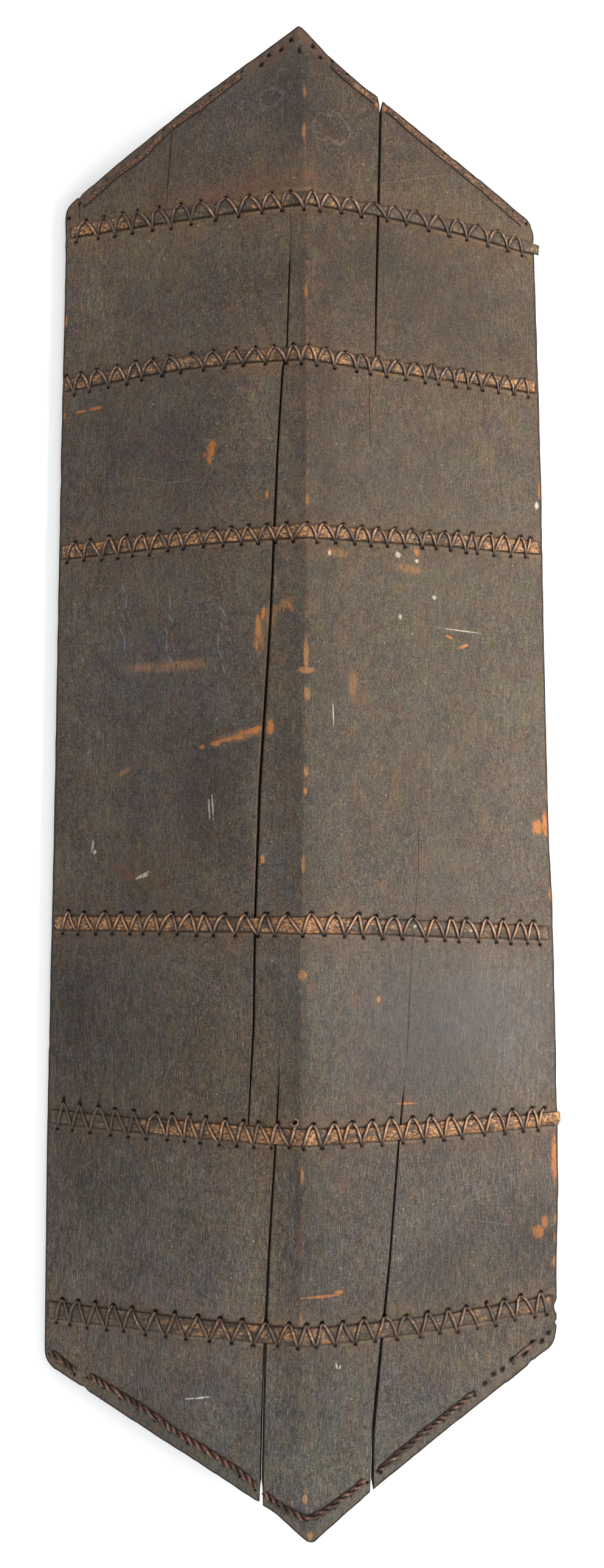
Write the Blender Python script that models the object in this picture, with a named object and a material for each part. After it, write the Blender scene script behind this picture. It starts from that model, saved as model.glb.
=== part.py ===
"""A Dayak war shield: one long six-sided plank, carved to a shallow ridge, hollow behind, with its own grip.

Six split-cane battens lie across the front. A zigzag of rattan holds each of them down, and twisted
rattan runs inside the four slanting edges, in the lengths that are left of it. The shield lies ridge up:
X runs across it, +Y towards its top point and +Z out of its front. It rests on the two long rims at Z = 0,
and the origin is under the middle of its box.
"""

import math

import bmesh
import bpy
import numpy as np
from mathutils import Vector

# The plank
HALF_LENGTH = 0.600
RIDGE_HEIGHT = 0.088
RIM_HEIGHT = 0.0085
THICKNESS = 0.0115  # measured straight down
LEFT_CROWN = 0.27  # share of a wing's fall that is curved, 0 for a flat wing
RIGHT_CROWN = 0.10
EDGE_INSETS = (0.0015, 0.0045)  # of the two corners that round the front's edge
EDGE_DROPS = (0.0030, 0.0009)  # how far the rim and the first of them lie below the wing
BACK_EDGE_LIFT = 0.0015
INSET_LIMITS = (0.12, 0.30)  # share of a narrow wing that each may take, near the points
RIDGE_ROUND = 0.004
RIDGE_ROUND_LIMIT = 0.20
CREST_DROP = 0.0008
TIP_WIDTH = 0.005
SLANT_STRETCH = 1.7  # an inset across a slanting edge takes this much more of X
SLANT_STARTS = (0.455, 0.500)
SHOULDER_RADIUS = 0.016
WING_SHARES = (1 / 3, 2 / 3)
SHARP_ANGLE = math.radians(32)

# The outline, as corners seen from the front: X, Y
TOP_TIP = (-0.0079, HALF_LENGTH)
BOTTOM_TIP = (0.0012, -HALF_LENGTH)
LEFT_SHOULDERS = ((-0.2055, 0.481), (-0.2136, -0.4865))
RIGHT_SHOULDERS = ((0.1968, 0.4712), (0.2072, -0.4745))
LEFT_NEAR_TIP = (-0.0240, -0.5810)
RIGHT_NEAR_TIP = ((0.0160, 0.5790), (0.0640, 0.5488))
RIGHT_RIM = (
    (0.2025, 0.140),
    (0.2045, -0.020),
    (0.2080, -0.075),
    (0.2105, -0.345),
    (0.2078, -0.419),
    (0.2050, -0.443),
    (0.2050, -0.450),
    (0.2072, -0.456),
)
RIM_LINES = ((-0.2055, -0.2136), (0.1995, 0.2110))  # each wing's foot at the upper and lower shoulders
SHOULDER_Y = 0.480
RIDGE_LINE = ((-0.600, 0.0012), (-0.560, -0.0030), (-0.280, -0.0060), (0.200, -0.0008), (0.380, -0.0010),
              (0.540, -0.0034), (0.600, -0.0079))
STATIONS = (
    0.600, 0.596, 0.588, 0.579, 0.5488, 0.510, 0.4885, 0.4800, 0.4720, 0.4640, 0.4540, 0.300, 0.140,
    -0.020, -0.075, -0.210, -0.345, -0.419, -0.443, -0.450, -0.456, -0.4640, -0.4730, -0.4820, -0.4900,
    -0.510, -0.545, -0.581, -0.590, -0.600,
)

# Splits along the grain: X, Y and width at each point. The upper right one has a V-shaped mouth.
SPLIT_DEPTHS = (-0.01, 0.11)
SPLITS = {
    "split_long": (
        (-0.0150, 0.404, 0.0003),
        (-0.0171, 0.337, 0.0005),
        (-0.0206, 0.316, 0.0009),
        (-0.0243, 0.256, 0.0010),
        (-0.0299, 0.118, 0.0013),
        (-0.0384, -0.020, 0.0017),
        (-0.0419, -0.122, 0.0013),
        (-0.0429, -0.208, 0.0009),
        (-0.0470, -0.285, 0.0003),
    ),
    "split_lower_left": (
        (-0.0219, -0.219, 0.0003),
        (-0.0247, -0.284, 0.0008),
        (-0.0303, -0.377, 0.0014),
        (-0.0332, -0.440, 0.0018),
        (-0.0352, -0.509, 0.0022),
        (-0.0372, -0.620, 0.0027),
    ),
    "split_upper_right": (
        (0.0630, 0.600, 0.0420),
        (0.0607, 0.544, 0.0019),
        (0.0590, 0.480, 0.0015),
        (0.0562, 0.377, 0.0009),
        (0.0555, 0.330, 0.0003),
    ),
    "split_lower_right": (
        (0.0899, -0.090, 0.0003),
        (0.0845, -0.143, 0.0006),
        (0.0795, -0.238, 0.0008),
        (0.0726, -0.305, 0.0010),
        (0.0647, -0.397, 0.0013),
        (0.0580, -0.456, 0.0017),
        (0.0509, -0.525, 0.0022),
        (0.0485, -0.620, 0.0028),
    ),
}

# The grip, carved from the same plank behind the middle of the ridge
GRIP_HALF_LENGTH = 0.062
GRIP_FOOT_LENGTH = 0.036
GRIP_WIDTH = 0.030
GRIP_UNDERSIDE = 0.014
GRIP_BAR_DEPTH = 0.022
GRIP_TOP = 0.079
FINGER_GAP_TOP = 0.068
FINGER_GAP_HALF_LENGTH = 0.052
GRIP_ROUND = 0.005
FINGER_GAP_ROUND = 0.010

# The battens and their lashings: Y of the middle line at the left rim, the ridge and the right rim,
# X of the two ends, width, and the number of stitches
GAP = 0.0003
BATTEN_THICKNESS = 0.0034
BATTEN_SECTION = ((-1, 0), (-1, 0.2), (-0.54, 1), (0.54, 1), (1, 0.2), (1, 0))  # half widths, thicknesses
BATTENS = (
    ((0.4593, 0.4551, 0.4484), (-0.1990, 0.2030), 0.0106, 24),
    ((0.3252, 0.3282, 0.3268), (-0.2020, 0.1985), 0.0106, 27),
    ((0.1815, 0.1833, 0.1889), (-0.2050, 0.2010), 0.0118, 28),
    ((-0.1292, -0.1285, -0.1376), (-0.2075, 0.2045), 0.0128, 26),
    ((-0.2840, -0.2926, -0.2925), (-0.2095, 0.2136), 0.0121, 27),
    ((-0.4453, -0.4444, -0.4430), (-0.2105, 0.2042), 0.0130, 26),
)
LINE_REACH = 0.200
CREASE_MARGIN = 0.003
STRAND_WIDTH = 0.0024
STRAND_HEIGHT = 0.0019
STITCH_OVERHANG = 0.0026  # from the batten's side to the middle of a hole
STITCH_END_MARGIN = 0.009
STITCH_SHOULDER = 0.30  # share of the batten's width at which a stitch turns down
BEND_STRETCH = 1.3

# The rattan left along the slanting edges: X and Y of the ends, with a bend where it has one
BINDINGS = {
    "edge_binding_upper_left": ((-0.1915, 0.4765), (-0.1122, 0.5330), (-0.0529, 0.5668)),
    "edge_binding_upper_middle": ((0.0182, 0.5705), (0.0560, 0.5450)),
    "edge_binding_upper_right": ((0.0665, 0.5395), (0.1241, 0.5055), (0.1885, 0.4680)),
    "edge_binding_left_corner": ((-0.2040, -0.4785), (-0.1835, -0.4895)),
    "edge_binding_lower_left": ((-0.1745, -0.4925), (-0.1060, -0.5290), (-0.0400, -0.5635)),
    "edge_binding_lower_middle": ((-0.0330, -0.5665), (-0.0020, -0.5830), (0.0440, -0.5600)),
    "edge_binding_lower_right": ((0.0560, -0.5535), (0.1341, -0.5060)),
    "edge_binding_right_corner": ((0.1698, -0.4845), (0.1940, -0.4715)),
}
BINDING_RADIUS = 0.0024
BINDING_STEP = 0.0042
BINDING_TURN = math.radians(60)

# Colours: red, green, blue, and roughness
WOOD = ((0.135, 0.105, 0.082), 0.62)
CANE = ((0.180, 0.095, 0.045), 0.50)
RATTAN = ((0.125, 0.062, 0.030), 0.45)
RATTAN_EDGE = ((0.105, 0.055, 0.030), 0.50)


def clear_scene():
    for item in list(bpy.data.objects):
        bpy.data.objects.remove(item)


def material(name, finish):
    colour, roughness = finish
    made = bpy.data.materials.new(name)
    made.use_nodes = True
    shader = made.node_tree.nodes["Principled BSDF"]
    shader.inputs["Base Color"].default_value = (*colour, 1.0)
    shader.inputs["Roughness"].default_value = roughness
    return made


def solid(name, points, faces, finish):
    """A mesh object with its own material. The faces all turn one way, reversed here if that is inwards."""
    mesh = bpy.data.meshes.new(name)
    mesh.from_pydata([tuple(map(float, point)) for point in points], [], faces)
    work = bmesh.new()
    work.from_mesh(mesh)
    if work.calc_volume(signed=True) < 0:
        bmesh.ops.reverse_faces(work, faces=work.faces[:])
    work.to_mesh(mesh)
    work.free()
    made = bpy.data.objects.new(name, mesh)
    bpy.context.scene.collection.objects.link(made)
    mesh.materials.append(material(name, finish))
    shaded_smooth(mesh)
    return made


def shaded_smooth(mesh):
    """Smooth shading, with a crease wherever two faces meet at more than the sharp angle."""
    mesh.shade_smooth()
    mesh.set_sharp_from_angle(angle=SHARP_ANGLE)


def tube_faces(count, rings):
    """Faces of rings of equal count, joined one to the next and capped at both ends."""
    last = (rings - 1) * count
    faces = [tuple(reversed(range(count))), tuple(range(last, last + count))]
    for near in range(0, last, count):
        for k in range(count):
            after = (k + 1) % count
            faces.append((near + k, near + after, near + count + after, near + count + k))
    return faces


def loft(name, rings, finish):
    points = [point for ring in rings for point in ring]
    return solid(name, points, tube_faces(len(rings[0]), len(rings)), finish)


def twisted(name, rings, finish):
    """A loft whose sides twist: each is two triangles, split along the diagonal that bulges outwards."""
    points = [Vector(point) for ring in rings for point in ring]
    near_cap, far_cap, *sides = tube_faces(len(rings[0]), len(rings))
    faces = [near_cap, far_cap]
    for a, b, c, d in sides:
        normal = (points[b] - points[a]).cross(points[c] - points[a])
        folds_in = normal.dot(points[d] - points[a]) > 0
        faces += [(a, b, d), (b, c, d)] if folds_in else [(a, b, c), (a, c, d)]
    return solid(name, points, faces, finish)


def rounded_corner(before, corner, after, radius, steps=5):
    """Points of the arc of that radius that touches both lines at a corner."""
    corner = Vector(corner)
    into = (Vector(before) - corner).normalized()
    away = (Vector(after) - corner).normalized()
    half_angle = into.angle(away) / 2
    centre = corner + (into + away).normalized() * radius / math.sin(half_angle)
    start = corner + into * radius / math.tan(half_angle) - centre
    end = corner + away * radius / math.tan(half_angle) - centre
    arc = [start.lerp(end, k / steps).normalized() * radius + centre for k in range(steps + 1)]
    return [tuple(point) for point in arc]


def left_outline():
    upper, lower = LEFT_SHOULDERS
    points = [TOP_TIP]
    points += rounded_corner(TOP_TIP, upper, lower, SHOULDER_RADIUS)
    points += rounded_corner(upper, lower, LEFT_NEAR_TIP, SHOULDER_RADIUS)
    return points + [LEFT_NEAR_TIP, BOTTOM_TIP]


def right_outline():
    upper, lower = RIGHT_SHOULDERS
    points = [TOP_TIP, *RIGHT_NEAR_TIP]
    points += rounded_corner(RIGHT_NEAR_TIP[-1], upper, RIGHT_RIM[0], SHOULDER_RADIUS)
    points += RIGHT_RIM
    points += rounded_corner(RIGHT_RIM[-1], lower, BOTTOM_TIP, SHOULDER_RADIUS)
    return points + [BOTTOM_TIP]


def x_at(y, outline):
    """X of an outline that runs from the top point to the bottom one, at a given Y."""
    xs, ys = zip(*reversed(outline))
    return float(np.interp(y, ys, xs))


def ridge_x(y):
    ys, xs = zip(*RIDGE_LINE)
    return float(np.interp(y, ys, xs))


def wing_width(y, right):
    """Distance from the ridge to the foot of a wing, whose straight rim is carried on past the shoulders."""
    upper, lower = RIM_LINES[right]
    share = (SHOULDER_Y - y) / (2 * SHOULDER_Y)
    return abs(upper + (lower - upper) * share - ridge_x(y))


def front_height(x, y):
    """Z of the front: the wing falls from the ridge, partly in proportion and partly with the square."""
    off = x - ridge_x(y)
    share = abs(off) / wing_width(y, off > 0)
    crown = RIGHT_CROWN if off > 0 else LEFT_CROWN
    return RIDGE_HEIGHT - (RIDGE_HEIGHT - RIM_HEIGHT) * ((1 - crown) * share + crown * share**2)


def land_share(crown):
    """Share of a wing's width at which its back reaches the ground."""
    fall = (RIDGE_HEIGHT - THICKNESS) / (RIDGE_HEIGHT - RIM_HEIGHT)
    straight = 1 - crown
    return (math.sqrt(straight**2 + 4 * crown * fall) - straight) / (2 * crown)


def edge_stretch(y):
    return float(np.interp(abs(y), SLANT_STARTS, (1.0, SLANT_STRETCH)))


def half_ring(y, rim, right):
    """(front points from the rim to beside the ridge, back points the same way) of one wing at one Y."""
    middle = ridge_x(y)
    reach = rim - middle
    inward = -math.copysign(1.0, reach)
    size = abs(reach)
    insets = [min(inset * edge_stretch(y), most * size) for inset, most in zip(EDGE_INSETS, INSET_LIMITS)]
    beside_ridge = middle + math.copysign(min(RIDGE_ROUND, RIDGE_ROUND_LIMIT * size), reach)
    rim_corner = rim + inward * insets[0]
    foot = rim + inward * insets[1]
    wing = [foot + (beside_ridge - foot) * share for share in WING_SHARES]
    front = [(x, y, front_height(x, y)) for x in (foot, *wing, beside_ridge)]
    edge = [(x, y, front_height(x, y) - drop) for x, drop in zip((rim, rim_corner), EDGE_DROPS)]
    crown = RIGHT_CROWN if right else LEFT_CROWN
    land = middle + math.copysign(land_share(crown) * wing_width(y, right), reach)
    land = min(land, foot) if right else max(land, foot)
    back_x = [rim, rim_corner, land, *(land + (middle - land) * share for share in WING_SHARES)]
    back = [(x, y, max(front_height(x, y) - THICKNESS, 0.0)) for x in back_x]
    back[0] = (rim, y, back[0][2] + BACK_EDGE_LIFT)
    return edge + front, back


def board_ring(y, left, right):
    middle = ridge_x(y)
    spare = TIP_WIDTH / 2
    left_front, left_back = half_ring(y, min(x_at(y, left), middle - spare), False)
    right_front, right_back = half_ring(y, max(x_at(y, right), middle + spare), True)
    crest = (middle, y, RIDGE_HEIGHT - CREST_DROP)
    hollow = (middle, y, RIDGE_HEIGHT - THICKNESS)
    return [*left_front, crest, *reversed(right_front), *right_back, hollow, *reversed(left_back)]


def cutter(name, points, faces):
    made = solid(name, points, faces, WOOD)
    made.hide_render = True
    made.display_type = "WIRE"
    return made


def combine(target, other, operation):
    boolean = target.modifiers.new(other.name, "BOOLEAN")
    boolean.operation = operation
    boolean.solver = "EXACT"
    boolean.object = other


def split_cutter(name, path):
    """A thin upright blade that follows a split through the whole plank."""
    low, high = SPLIT_DEPTHS
    points = [
        (x + side * width / 2, y, z)
        for x, y, width in path
        for side, z in ((-1, low), (1, low), (1, high), (-1, high))
    ]
    return cutter(name, points, tube_faces(4, len(path)))


def side_profile(name, outline, half_width):
    """A shape drawn in the lengthwise plane, as Y and Z, and carried straight across the ridge."""
    points = [(x, y, z) for x in (-half_width, half_width) for y, z in outline]
    return cutter(name, points, tube_faces(len(outline), 2))


def rounded(target, width, segments):
    bevel = target.modifiers.new("rounding", "BEVEL")
    bevel.width = width
    bevel.segments = segments
    bevel.limit_method = "ANGLE"
    bevel.angle_limit = math.radians(25)


def grip():
    """A rib behind the ridge with a finger gap through it, which leaves a bar on two feet."""
    foot = GRIP_HALF_LENGTH + GRIP_FOOT_LENGTH
    rib = side_profile(
        "grip_rib",
        [
            (-foot, GRIP_TOP),
            (-GRIP_HALF_LENGTH, GRIP_UNDERSIDE),
            (GRIP_HALF_LENGTH, GRIP_UNDERSIDE),
            (foot, GRIP_TOP),
        ],
        GRIP_WIDTH / 2,
    )
    for corner in rib.data.vertices:
        corner.co.x += ridge_x(0.0)
    rounded(rib, GRIP_ROUND, 2)
    gap_foot = GRIP_UNDERSIDE + GRIP_BAR_DEPTH
    gap = side_profile(
        "finger_gap",
        [
            (-FINGER_GAP_HALF_LENGTH, gap_foot),
            (FINGER_GAP_HALF_LENGTH, gap_foot),
            (FINGER_GAP_HALF_LENGTH, FINGER_GAP_TOP),
            (-FINGER_GAP_HALF_LENGTH, FINGER_GAP_TOP),
        ],
        GRIP_WIDTH,
    )
    rounded(gap, FINGER_GAP_ROUND, 2)
    combine(rib, gap, "DIFFERENCE")
    return rib


def carve(target):
    """Carries out the cuts, removes the cutters, and shades the new edges by their angle."""
    graph = bpy.context.evaluated_depsgraph_get()
    mesh = bpy.data.meshes.new_from_object(target.evaluated_get(graph))
    target.modifiers.clear()
    target.data = mesh
    shaded_smooth(mesh)
    for item in list(bpy.data.objects):
        if item.hide_render:
            bpy.data.objects.remove(item)


def board():
    left = left_outline()
    right = right_outline()
    plank = loft("board", [board_ring(y, left, right) for y in STATIONS], WOOD)
    combine(plank, grip(), "UNION")
    for name, path in SPLITS.items():
        combine(plank, split_cutter(name, path), "DIFFERENCE")
    carve(plank)


def band_y(x, levels):
    """Y of a batten's middle line."""
    return float(np.interp(x, (-LINE_REACH, 0.0, LINE_REACH), levels))


def height_over(x, y):
    """Front height that also clears the ridge for something that bridges it."""
    near = abs(x - ridge_x(y)) < 2 * RIDGE_ROUND
    return RIDGE_HEIGHT if near else front_height(x, y)


def batten_columns(levels, ends):
    """X of a batten's rings: its ends, and the plank's own creases between them."""
    y = levels[1]
    front_left, _ = half_ring(y, x_at(y, left_outline()), False)
    front_right, _ = half_ring(y, x_at(y, right_outline()), True)
    creases = sorted([point[0] for point in front_left[2:] + front_right[2:]] + [ridge_x(y)])
    inside = [x for x in creases if ends[0] + CREASE_MARGIN < x < ends[1] - CREASE_MARGIN]
    return [ends[0], *inside, ends[1]]


def batten(number, levels, ends, width):
    """Flat below, with a low rounded top, bent over the ridge."""
    rings = []
    for x in batten_columns(levels, ends):
        y = band_y(x, levels)
        base = front_height(x, y) + GAP
        rings.append([(x, y + off * width / 2, base + up * BATTEN_THICKNESS) for off, up in BATTEN_SECTION])
    return loft(f"batten_{number}", rings, CANE)


def strand_ring(x, y, side, lift, stretch=1.0):
    """Three corners: two below, which follow the wing's slope across the strand, and one above."""
    reach = STRAND_WIDTH / 2 * stretch
    corners = [(x + way * side[0] * reach, y + way * side[1] * reach, 0.0) for way in (-1, 1)]
    corners.append((x, y, STRAND_HEIGHT))
    return [(cx, cy, height_over(cx, cy) + lift + up) for cx, cy, up in corners]


def lashing(number, levels, ends, width, stitches):
    """One strand that zigzags over a batten, and bends at the board beside it."""
    reach = width / 2 + STITCH_OVERHANG
    shoulder = STITCH_SHOULDER * width
    start = ends[0] + STITCH_END_MARGIN
    pitch = (ends[1] - ends[0] - 2 * STITCH_END_MARGIN) / (stitches - 0.5)
    rings = []
    for leg in range(2 * stitches - 1):
        way = -1 if leg % 2 else 1
        x = start + leg * pitch / 2
        leg_length = math.hypot(pitch / 2, 2 * reach)
        across = (way * 2 * reach / leg_length, pitch / 2 / leg_length)
        y = band_y(x, levels) + way * reach
        rings.append(strand_ring(x, y, (0.0, 1.0), GAP, BEND_STRETCH))
        for level in (way * shoulder, -way * shoulder):
            along = (way * reach - level) / (way * 2 * reach)
            top_x = x + along * pitch / 2
            top_y = band_y(top_x, levels) + level
            rings.append(strand_ring(top_x, top_y, across, 2 * GAP + BATTEN_THICKNESS))
    return twisted(f"lashing_{number}", rings, RATTAN)


def binding(name, corners):
    """A thick twisted strand along a slanting edge: a square bar that turns as it goes."""
    path = [Vector(corners[0])]
    for near, far in zip(corners, corners[1:]):
        near, far = Vector(near), Vector(far)
        steps = max(1, round((far - near).length / BINDING_STEP))
        path += [near.lerp(far, (k + 1) / steps) for k in range(steps)]
    rings = []
    for k, place in enumerate(path):
        ahead = path[min(k + 1, len(path) - 1)] - path[max(k - 1, 0)]
        across = Vector((-ahead.y, ahead.x)).normalized()
        base = height_over(place.x, place.y) + 2 * GAP + BINDING_RADIUS
        turns = [k * BINDING_TURN + corner * math.pi / 2 for corner in range(4)]
        rings.append([
            (
                place.x + across.x * math.cos(turn) * BINDING_RADIUS,
                place.y + across.y * math.cos(turn) * BINDING_RADIUS,
                base + math.sin(turn) * BINDING_RADIUS,
            )
            for turn in turns
        ])
    return twisted(name, rings, RATTAN_EDGE)


def main():
    clear_scene()
    board()
    for number, (levels, ends, width, stitches) in enumerate(BATTENS, start=1):
        batten(number, levels, ends, width)
        lashing(number, levels, ends, width, stitches)
    for name, corners in BINDINGS.items():
        binding(name, corners)


main()
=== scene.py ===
"""A Dayak war shield, lying ridge up on a pale floor.

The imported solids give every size. The plank, the battens, their lashings and the edge bindings are made
again here as finer surfaces over the same lines, in metres: X across the shield, +Y to its top point, +Z out
of its front. Tables that are said to be in mm are turned into metres where they are used.
"""

import math

import bpy
import numpy as np
from mathutils import Matrix, Vector


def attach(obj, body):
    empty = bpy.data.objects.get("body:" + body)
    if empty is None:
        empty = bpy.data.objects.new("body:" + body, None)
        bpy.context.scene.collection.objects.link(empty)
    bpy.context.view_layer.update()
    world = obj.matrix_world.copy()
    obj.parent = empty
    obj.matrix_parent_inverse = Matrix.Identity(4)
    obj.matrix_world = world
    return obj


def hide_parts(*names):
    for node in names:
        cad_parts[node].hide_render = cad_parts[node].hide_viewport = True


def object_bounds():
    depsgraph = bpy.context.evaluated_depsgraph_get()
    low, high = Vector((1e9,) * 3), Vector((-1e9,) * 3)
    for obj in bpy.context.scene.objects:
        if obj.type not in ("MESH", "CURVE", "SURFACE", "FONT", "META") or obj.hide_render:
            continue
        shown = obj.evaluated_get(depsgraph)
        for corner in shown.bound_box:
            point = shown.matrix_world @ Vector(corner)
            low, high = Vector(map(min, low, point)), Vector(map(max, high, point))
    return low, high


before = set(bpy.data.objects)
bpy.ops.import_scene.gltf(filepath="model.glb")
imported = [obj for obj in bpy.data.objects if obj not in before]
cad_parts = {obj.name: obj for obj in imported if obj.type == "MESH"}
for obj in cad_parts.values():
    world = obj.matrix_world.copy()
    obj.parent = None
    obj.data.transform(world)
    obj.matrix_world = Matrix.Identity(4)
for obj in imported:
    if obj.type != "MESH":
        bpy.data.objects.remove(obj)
CAD_BOX = [list(corner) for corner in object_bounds()]
MM = 0.001

# The plank's section and lines, as in its solid
RIDGE_HEIGHT = 0.088
RIM_HEIGHT = 0.0085
THICKNESS = 0.0115
CROWNS = (0.27, 0.10)  # left and right wing
RIM_STRIP = 0.0045
SHOULDER_Y = 0.480
SHOULDER_RADIUS = 0.016
CREST_RADIUS = 0.003
SLANT = math.cos(math.radians(30))
WING_FEET = ((-0.2055, -0.2136), (0.1995, 0.211))
RIDGE_LINE = (
    (-0.6, 0.0012), (-0.56, -0.003), (-0.28, -0.006), (0.2, -0.0008), (0.38, -0.001), (0.54, -0.0034),
    (0.6, -0.0079),
)
LEFT_RIM = (
    (-0.4865, -0.2134), (-0.317, -0.2134), (-0.167, -0.2117), (-0.015, -0.2096), (0.139, -0.2084),
    (0.269, -0.2074), (0.411, -0.2052), (0.481, -0.2055),
)
RIGHT_RIM = (
    (-0.4745, 0.2072), (-0.456, 0.2076), (-0.419, 0.208), (-0.345, 0.2105), (-0.244, 0.2099),
    (-0.117, 0.208), (-0.06, 0.2056), (-0.02, 0.2045), (0.14, 0.2025), (0.247, 0.2018), (0.38, 0.1989),
    (0.4712, 0.1968),
)
TOP_EDGE = (
    (-0.2055, 0.481), (-0.1925, 0.4882), (-0.173, 0.5006), (-0.1088, 0.5406), (-0.0396, 0.5803),
    (-0.012, 0.5972), (-0.0079, 0.6), (-0.004, 0.5972), (0.0161, 0.5791), (0.0448, 0.5596),
    (0.0588, 0.5523), (0.064, 0.5488), (0.1113, 0.5218), (0.1775, 0.4826), (0.1968, 0.4712),
)
BOTTOM_EDGE = (
    (-0.2134, -0.4865), (-0.1711, -0.5069), (-0.0945, -0.5437), (-0.0587, -0.5623), (-0.0238, -0.5811),
    (-0.002, -0.5985), (0.0012, -0.6), (0.005, -0.5985), (0.0263, -0.5837), (0.0542, -0.5652),
    (0.116, -0.528), (0.18, -0.4906), (0.1832, -0.4878), (0.2072, -0.4745),
)

# Splits along the grain: Y, X and width at each point. A lane runs on closed past the open lengths that it
# has. Both tables are keyed by the number of the split's span between the lines of lane_lines.
CLOSED = 0.0003
LANE_LONG = (
    (-0.62, -0.056, CLOSED), (-0.285, -0.047, CLOSED), (-0.208, -0.0429, 0.0009), (-0.122, -0.0419, 0.0013),
    (-0.02, -0.0384, 0.0017), (0.118, -0.0299, 0.0013), (0.256, -0.0243, 0.001), (0.316, -0.0206, 0.0009),
    (0.337, -0.0171, 0.0005), (0.404, -0.015, CLOSED), (0.62, -0.015, CLOSED),
)
LANE_LOWER_LEFT = (
    (-0.62, -0.0372, 0.0027), (-0.509, -0.0352, 0.002), (-0.44, -0.0332, 0.0015), (-0.377, -0.0303, 0.001),
    (-0.284, -0.0247, 0.0005), (-0.219, -0.0219, CLOSED), (0.0, -0.017, CLOSED), (0.404, -0.0085, CLOSED),
    (0.62, -0.01, CLOSED),
)
LANE_RIGHT = (
    (-0.62, 0.0485, 0.0028), (-0.525, 0.0509, 0.002), (-0.456, 0.058, 0.0014), (-0.397, 0.0647, 0.001),
    (-0.305, 0.0726, 0.0008), (-0.238, 0.0795, CLOSED), (-0.143, 0.0845, CLOSED), (-0.09, 0.0899, CLOSED),
    (0.33, 0.0555, CLOSED), (0.377, 0.0562, 0.0009), (0.48, 0.059, 0.0013), (0.546, 0.0607, 0.0015),
    (0.6, 0.063, 0.03),
)
LANES = {2: LANE_LONG, 4: LANE_LOWER_LEFT, 7: LANE_RIGHT}
OPEN_LENGTHS = {2: ((-0.285, 0.404),), 4: ((-0.620, -0.250),), 7: ((-0.620, -0.262), (0.330, 0.620))}

# The battens: both ends, and in mm the Y of the lower and the upper edge at nine places 50 mm apart
BAND_KNOTS = (-0.2, -0.15, -0.1, -0.05, 0.0, 0.05, 0.1, 0.15, 0.2)
BATTEN_THICKNESS = 0.0034
BATTEN_ENDS = {
    1: (-0.2, 0.203), 2: (-0.2045, 0.1985), 3: (-0.205, 0.201), 4: (-0.2085, 0.2045), 5: (-0.2105, 0.2136),
    6: (-0.2105, 0.2042),
}
BATTEN_EDGES = {
    1: ((453.1, 451.0, 450.4, 450.0, 450.7, 451.8, 450.4, 448.6, 444.4),
        (461.8, 461.7, 460.6, 461.0, 460.6, 460.2, 460.9, 458.9, 453.9)),
    2: ((320.1, 322.8, 325.1, 324.8, 323.0, 321.3, 321.8, 322.1, 322.8),
        (329.0, 332.4, 334.6, 334.2, 333.3, 330.8, 330.9, 332.0, 332.1)),
    3: ((175.8, 176.8, 178.4, 178.5, 178.3, 179.0, 181.1, 182.0, 183.2),
        (186.9, 187.4, 188.7, 187.9, 189.0, 189.1, 190.9, 192.9, 193.7)),
    4: ((-135.2, -134.8, -135.1, -134.7, -135.4, -136.7, -139.5, -141.2, -143.9),
        (-124.0, -123.6, -123.5, -123.3, -122.9, -124.5, -127.1, -129.7, -133.0)),
    5: ((-293.6, -295.8, -296.9, -298.5, -300.1, -300.1, -300.1, -299.2, -297.8),
        (-283.0, -284.9, -285.3, -286.2, -287.6, -288.6, -288.4, -287.5, -287.0)),
    6: ((-450.6, -450.6, -451.0, -451.2, -451.9, -452.3, -451.9, -449.5, -448.3),
        (-437.8, -437.2, -437.9, -438.2, -438.6, -440.2, -440.4, -438.7, -436.4)),
}
# How far past the edges the holes lie there, in mm, and their X in mm along the lower and the upper edge
OVERHANGS = {
    1: ((3.1, 3.4, 3.7, 1.6, 2.4, 2.2, 1.8, 2.2, 2.4), (3.4, 3.9, 3.4, 2.0, 1.3, 0.8, 0.8, 0.8, 0.8)),
    2: ((3.9, 2.2, 1.6, 0.9, 2.4, 2.8, 3.4, 2.8, 3.4), (4.0, 3.6, 2.6, 2.2, 1.6, 0.8, 0.8, 1.0, 1.0)),
    3: ((2.2, 3.8, 2.1, 1.4, 2.4, 1.8, 1.1, 3.4, 2.6), (1.4, 3.4, 2.3, 2.0, 1.4, 1.4, 1.3, 2.6, 2.4)),
    4: ((2.4, 2.2, 1.2, 2.8, 1.2, 2.3, 2.8, 3.4, 3.8), (3.2, 2.4, 2.8, 1.4, 2.4, 1.7, 1.6, 2.6, 3.6)),
    5: ((3.6, 4.4, 4.2, 2.8, 1.4, 3.5, 2.7, 2.4, 2.4), (6.0, 5.6, 4.4, 2.6, 3.4, 4.0, 3.2, 4.4, 3.4)),
    6: ((3.1, 3.0, 3.6, 2.1, 1.3, 2.5, 3.6, 5.2, 3.1), (3.5, 1.7, 1.3, 1.3, 1.8, 2.4, 1.5, 2.6, 3.2)),
}
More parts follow.
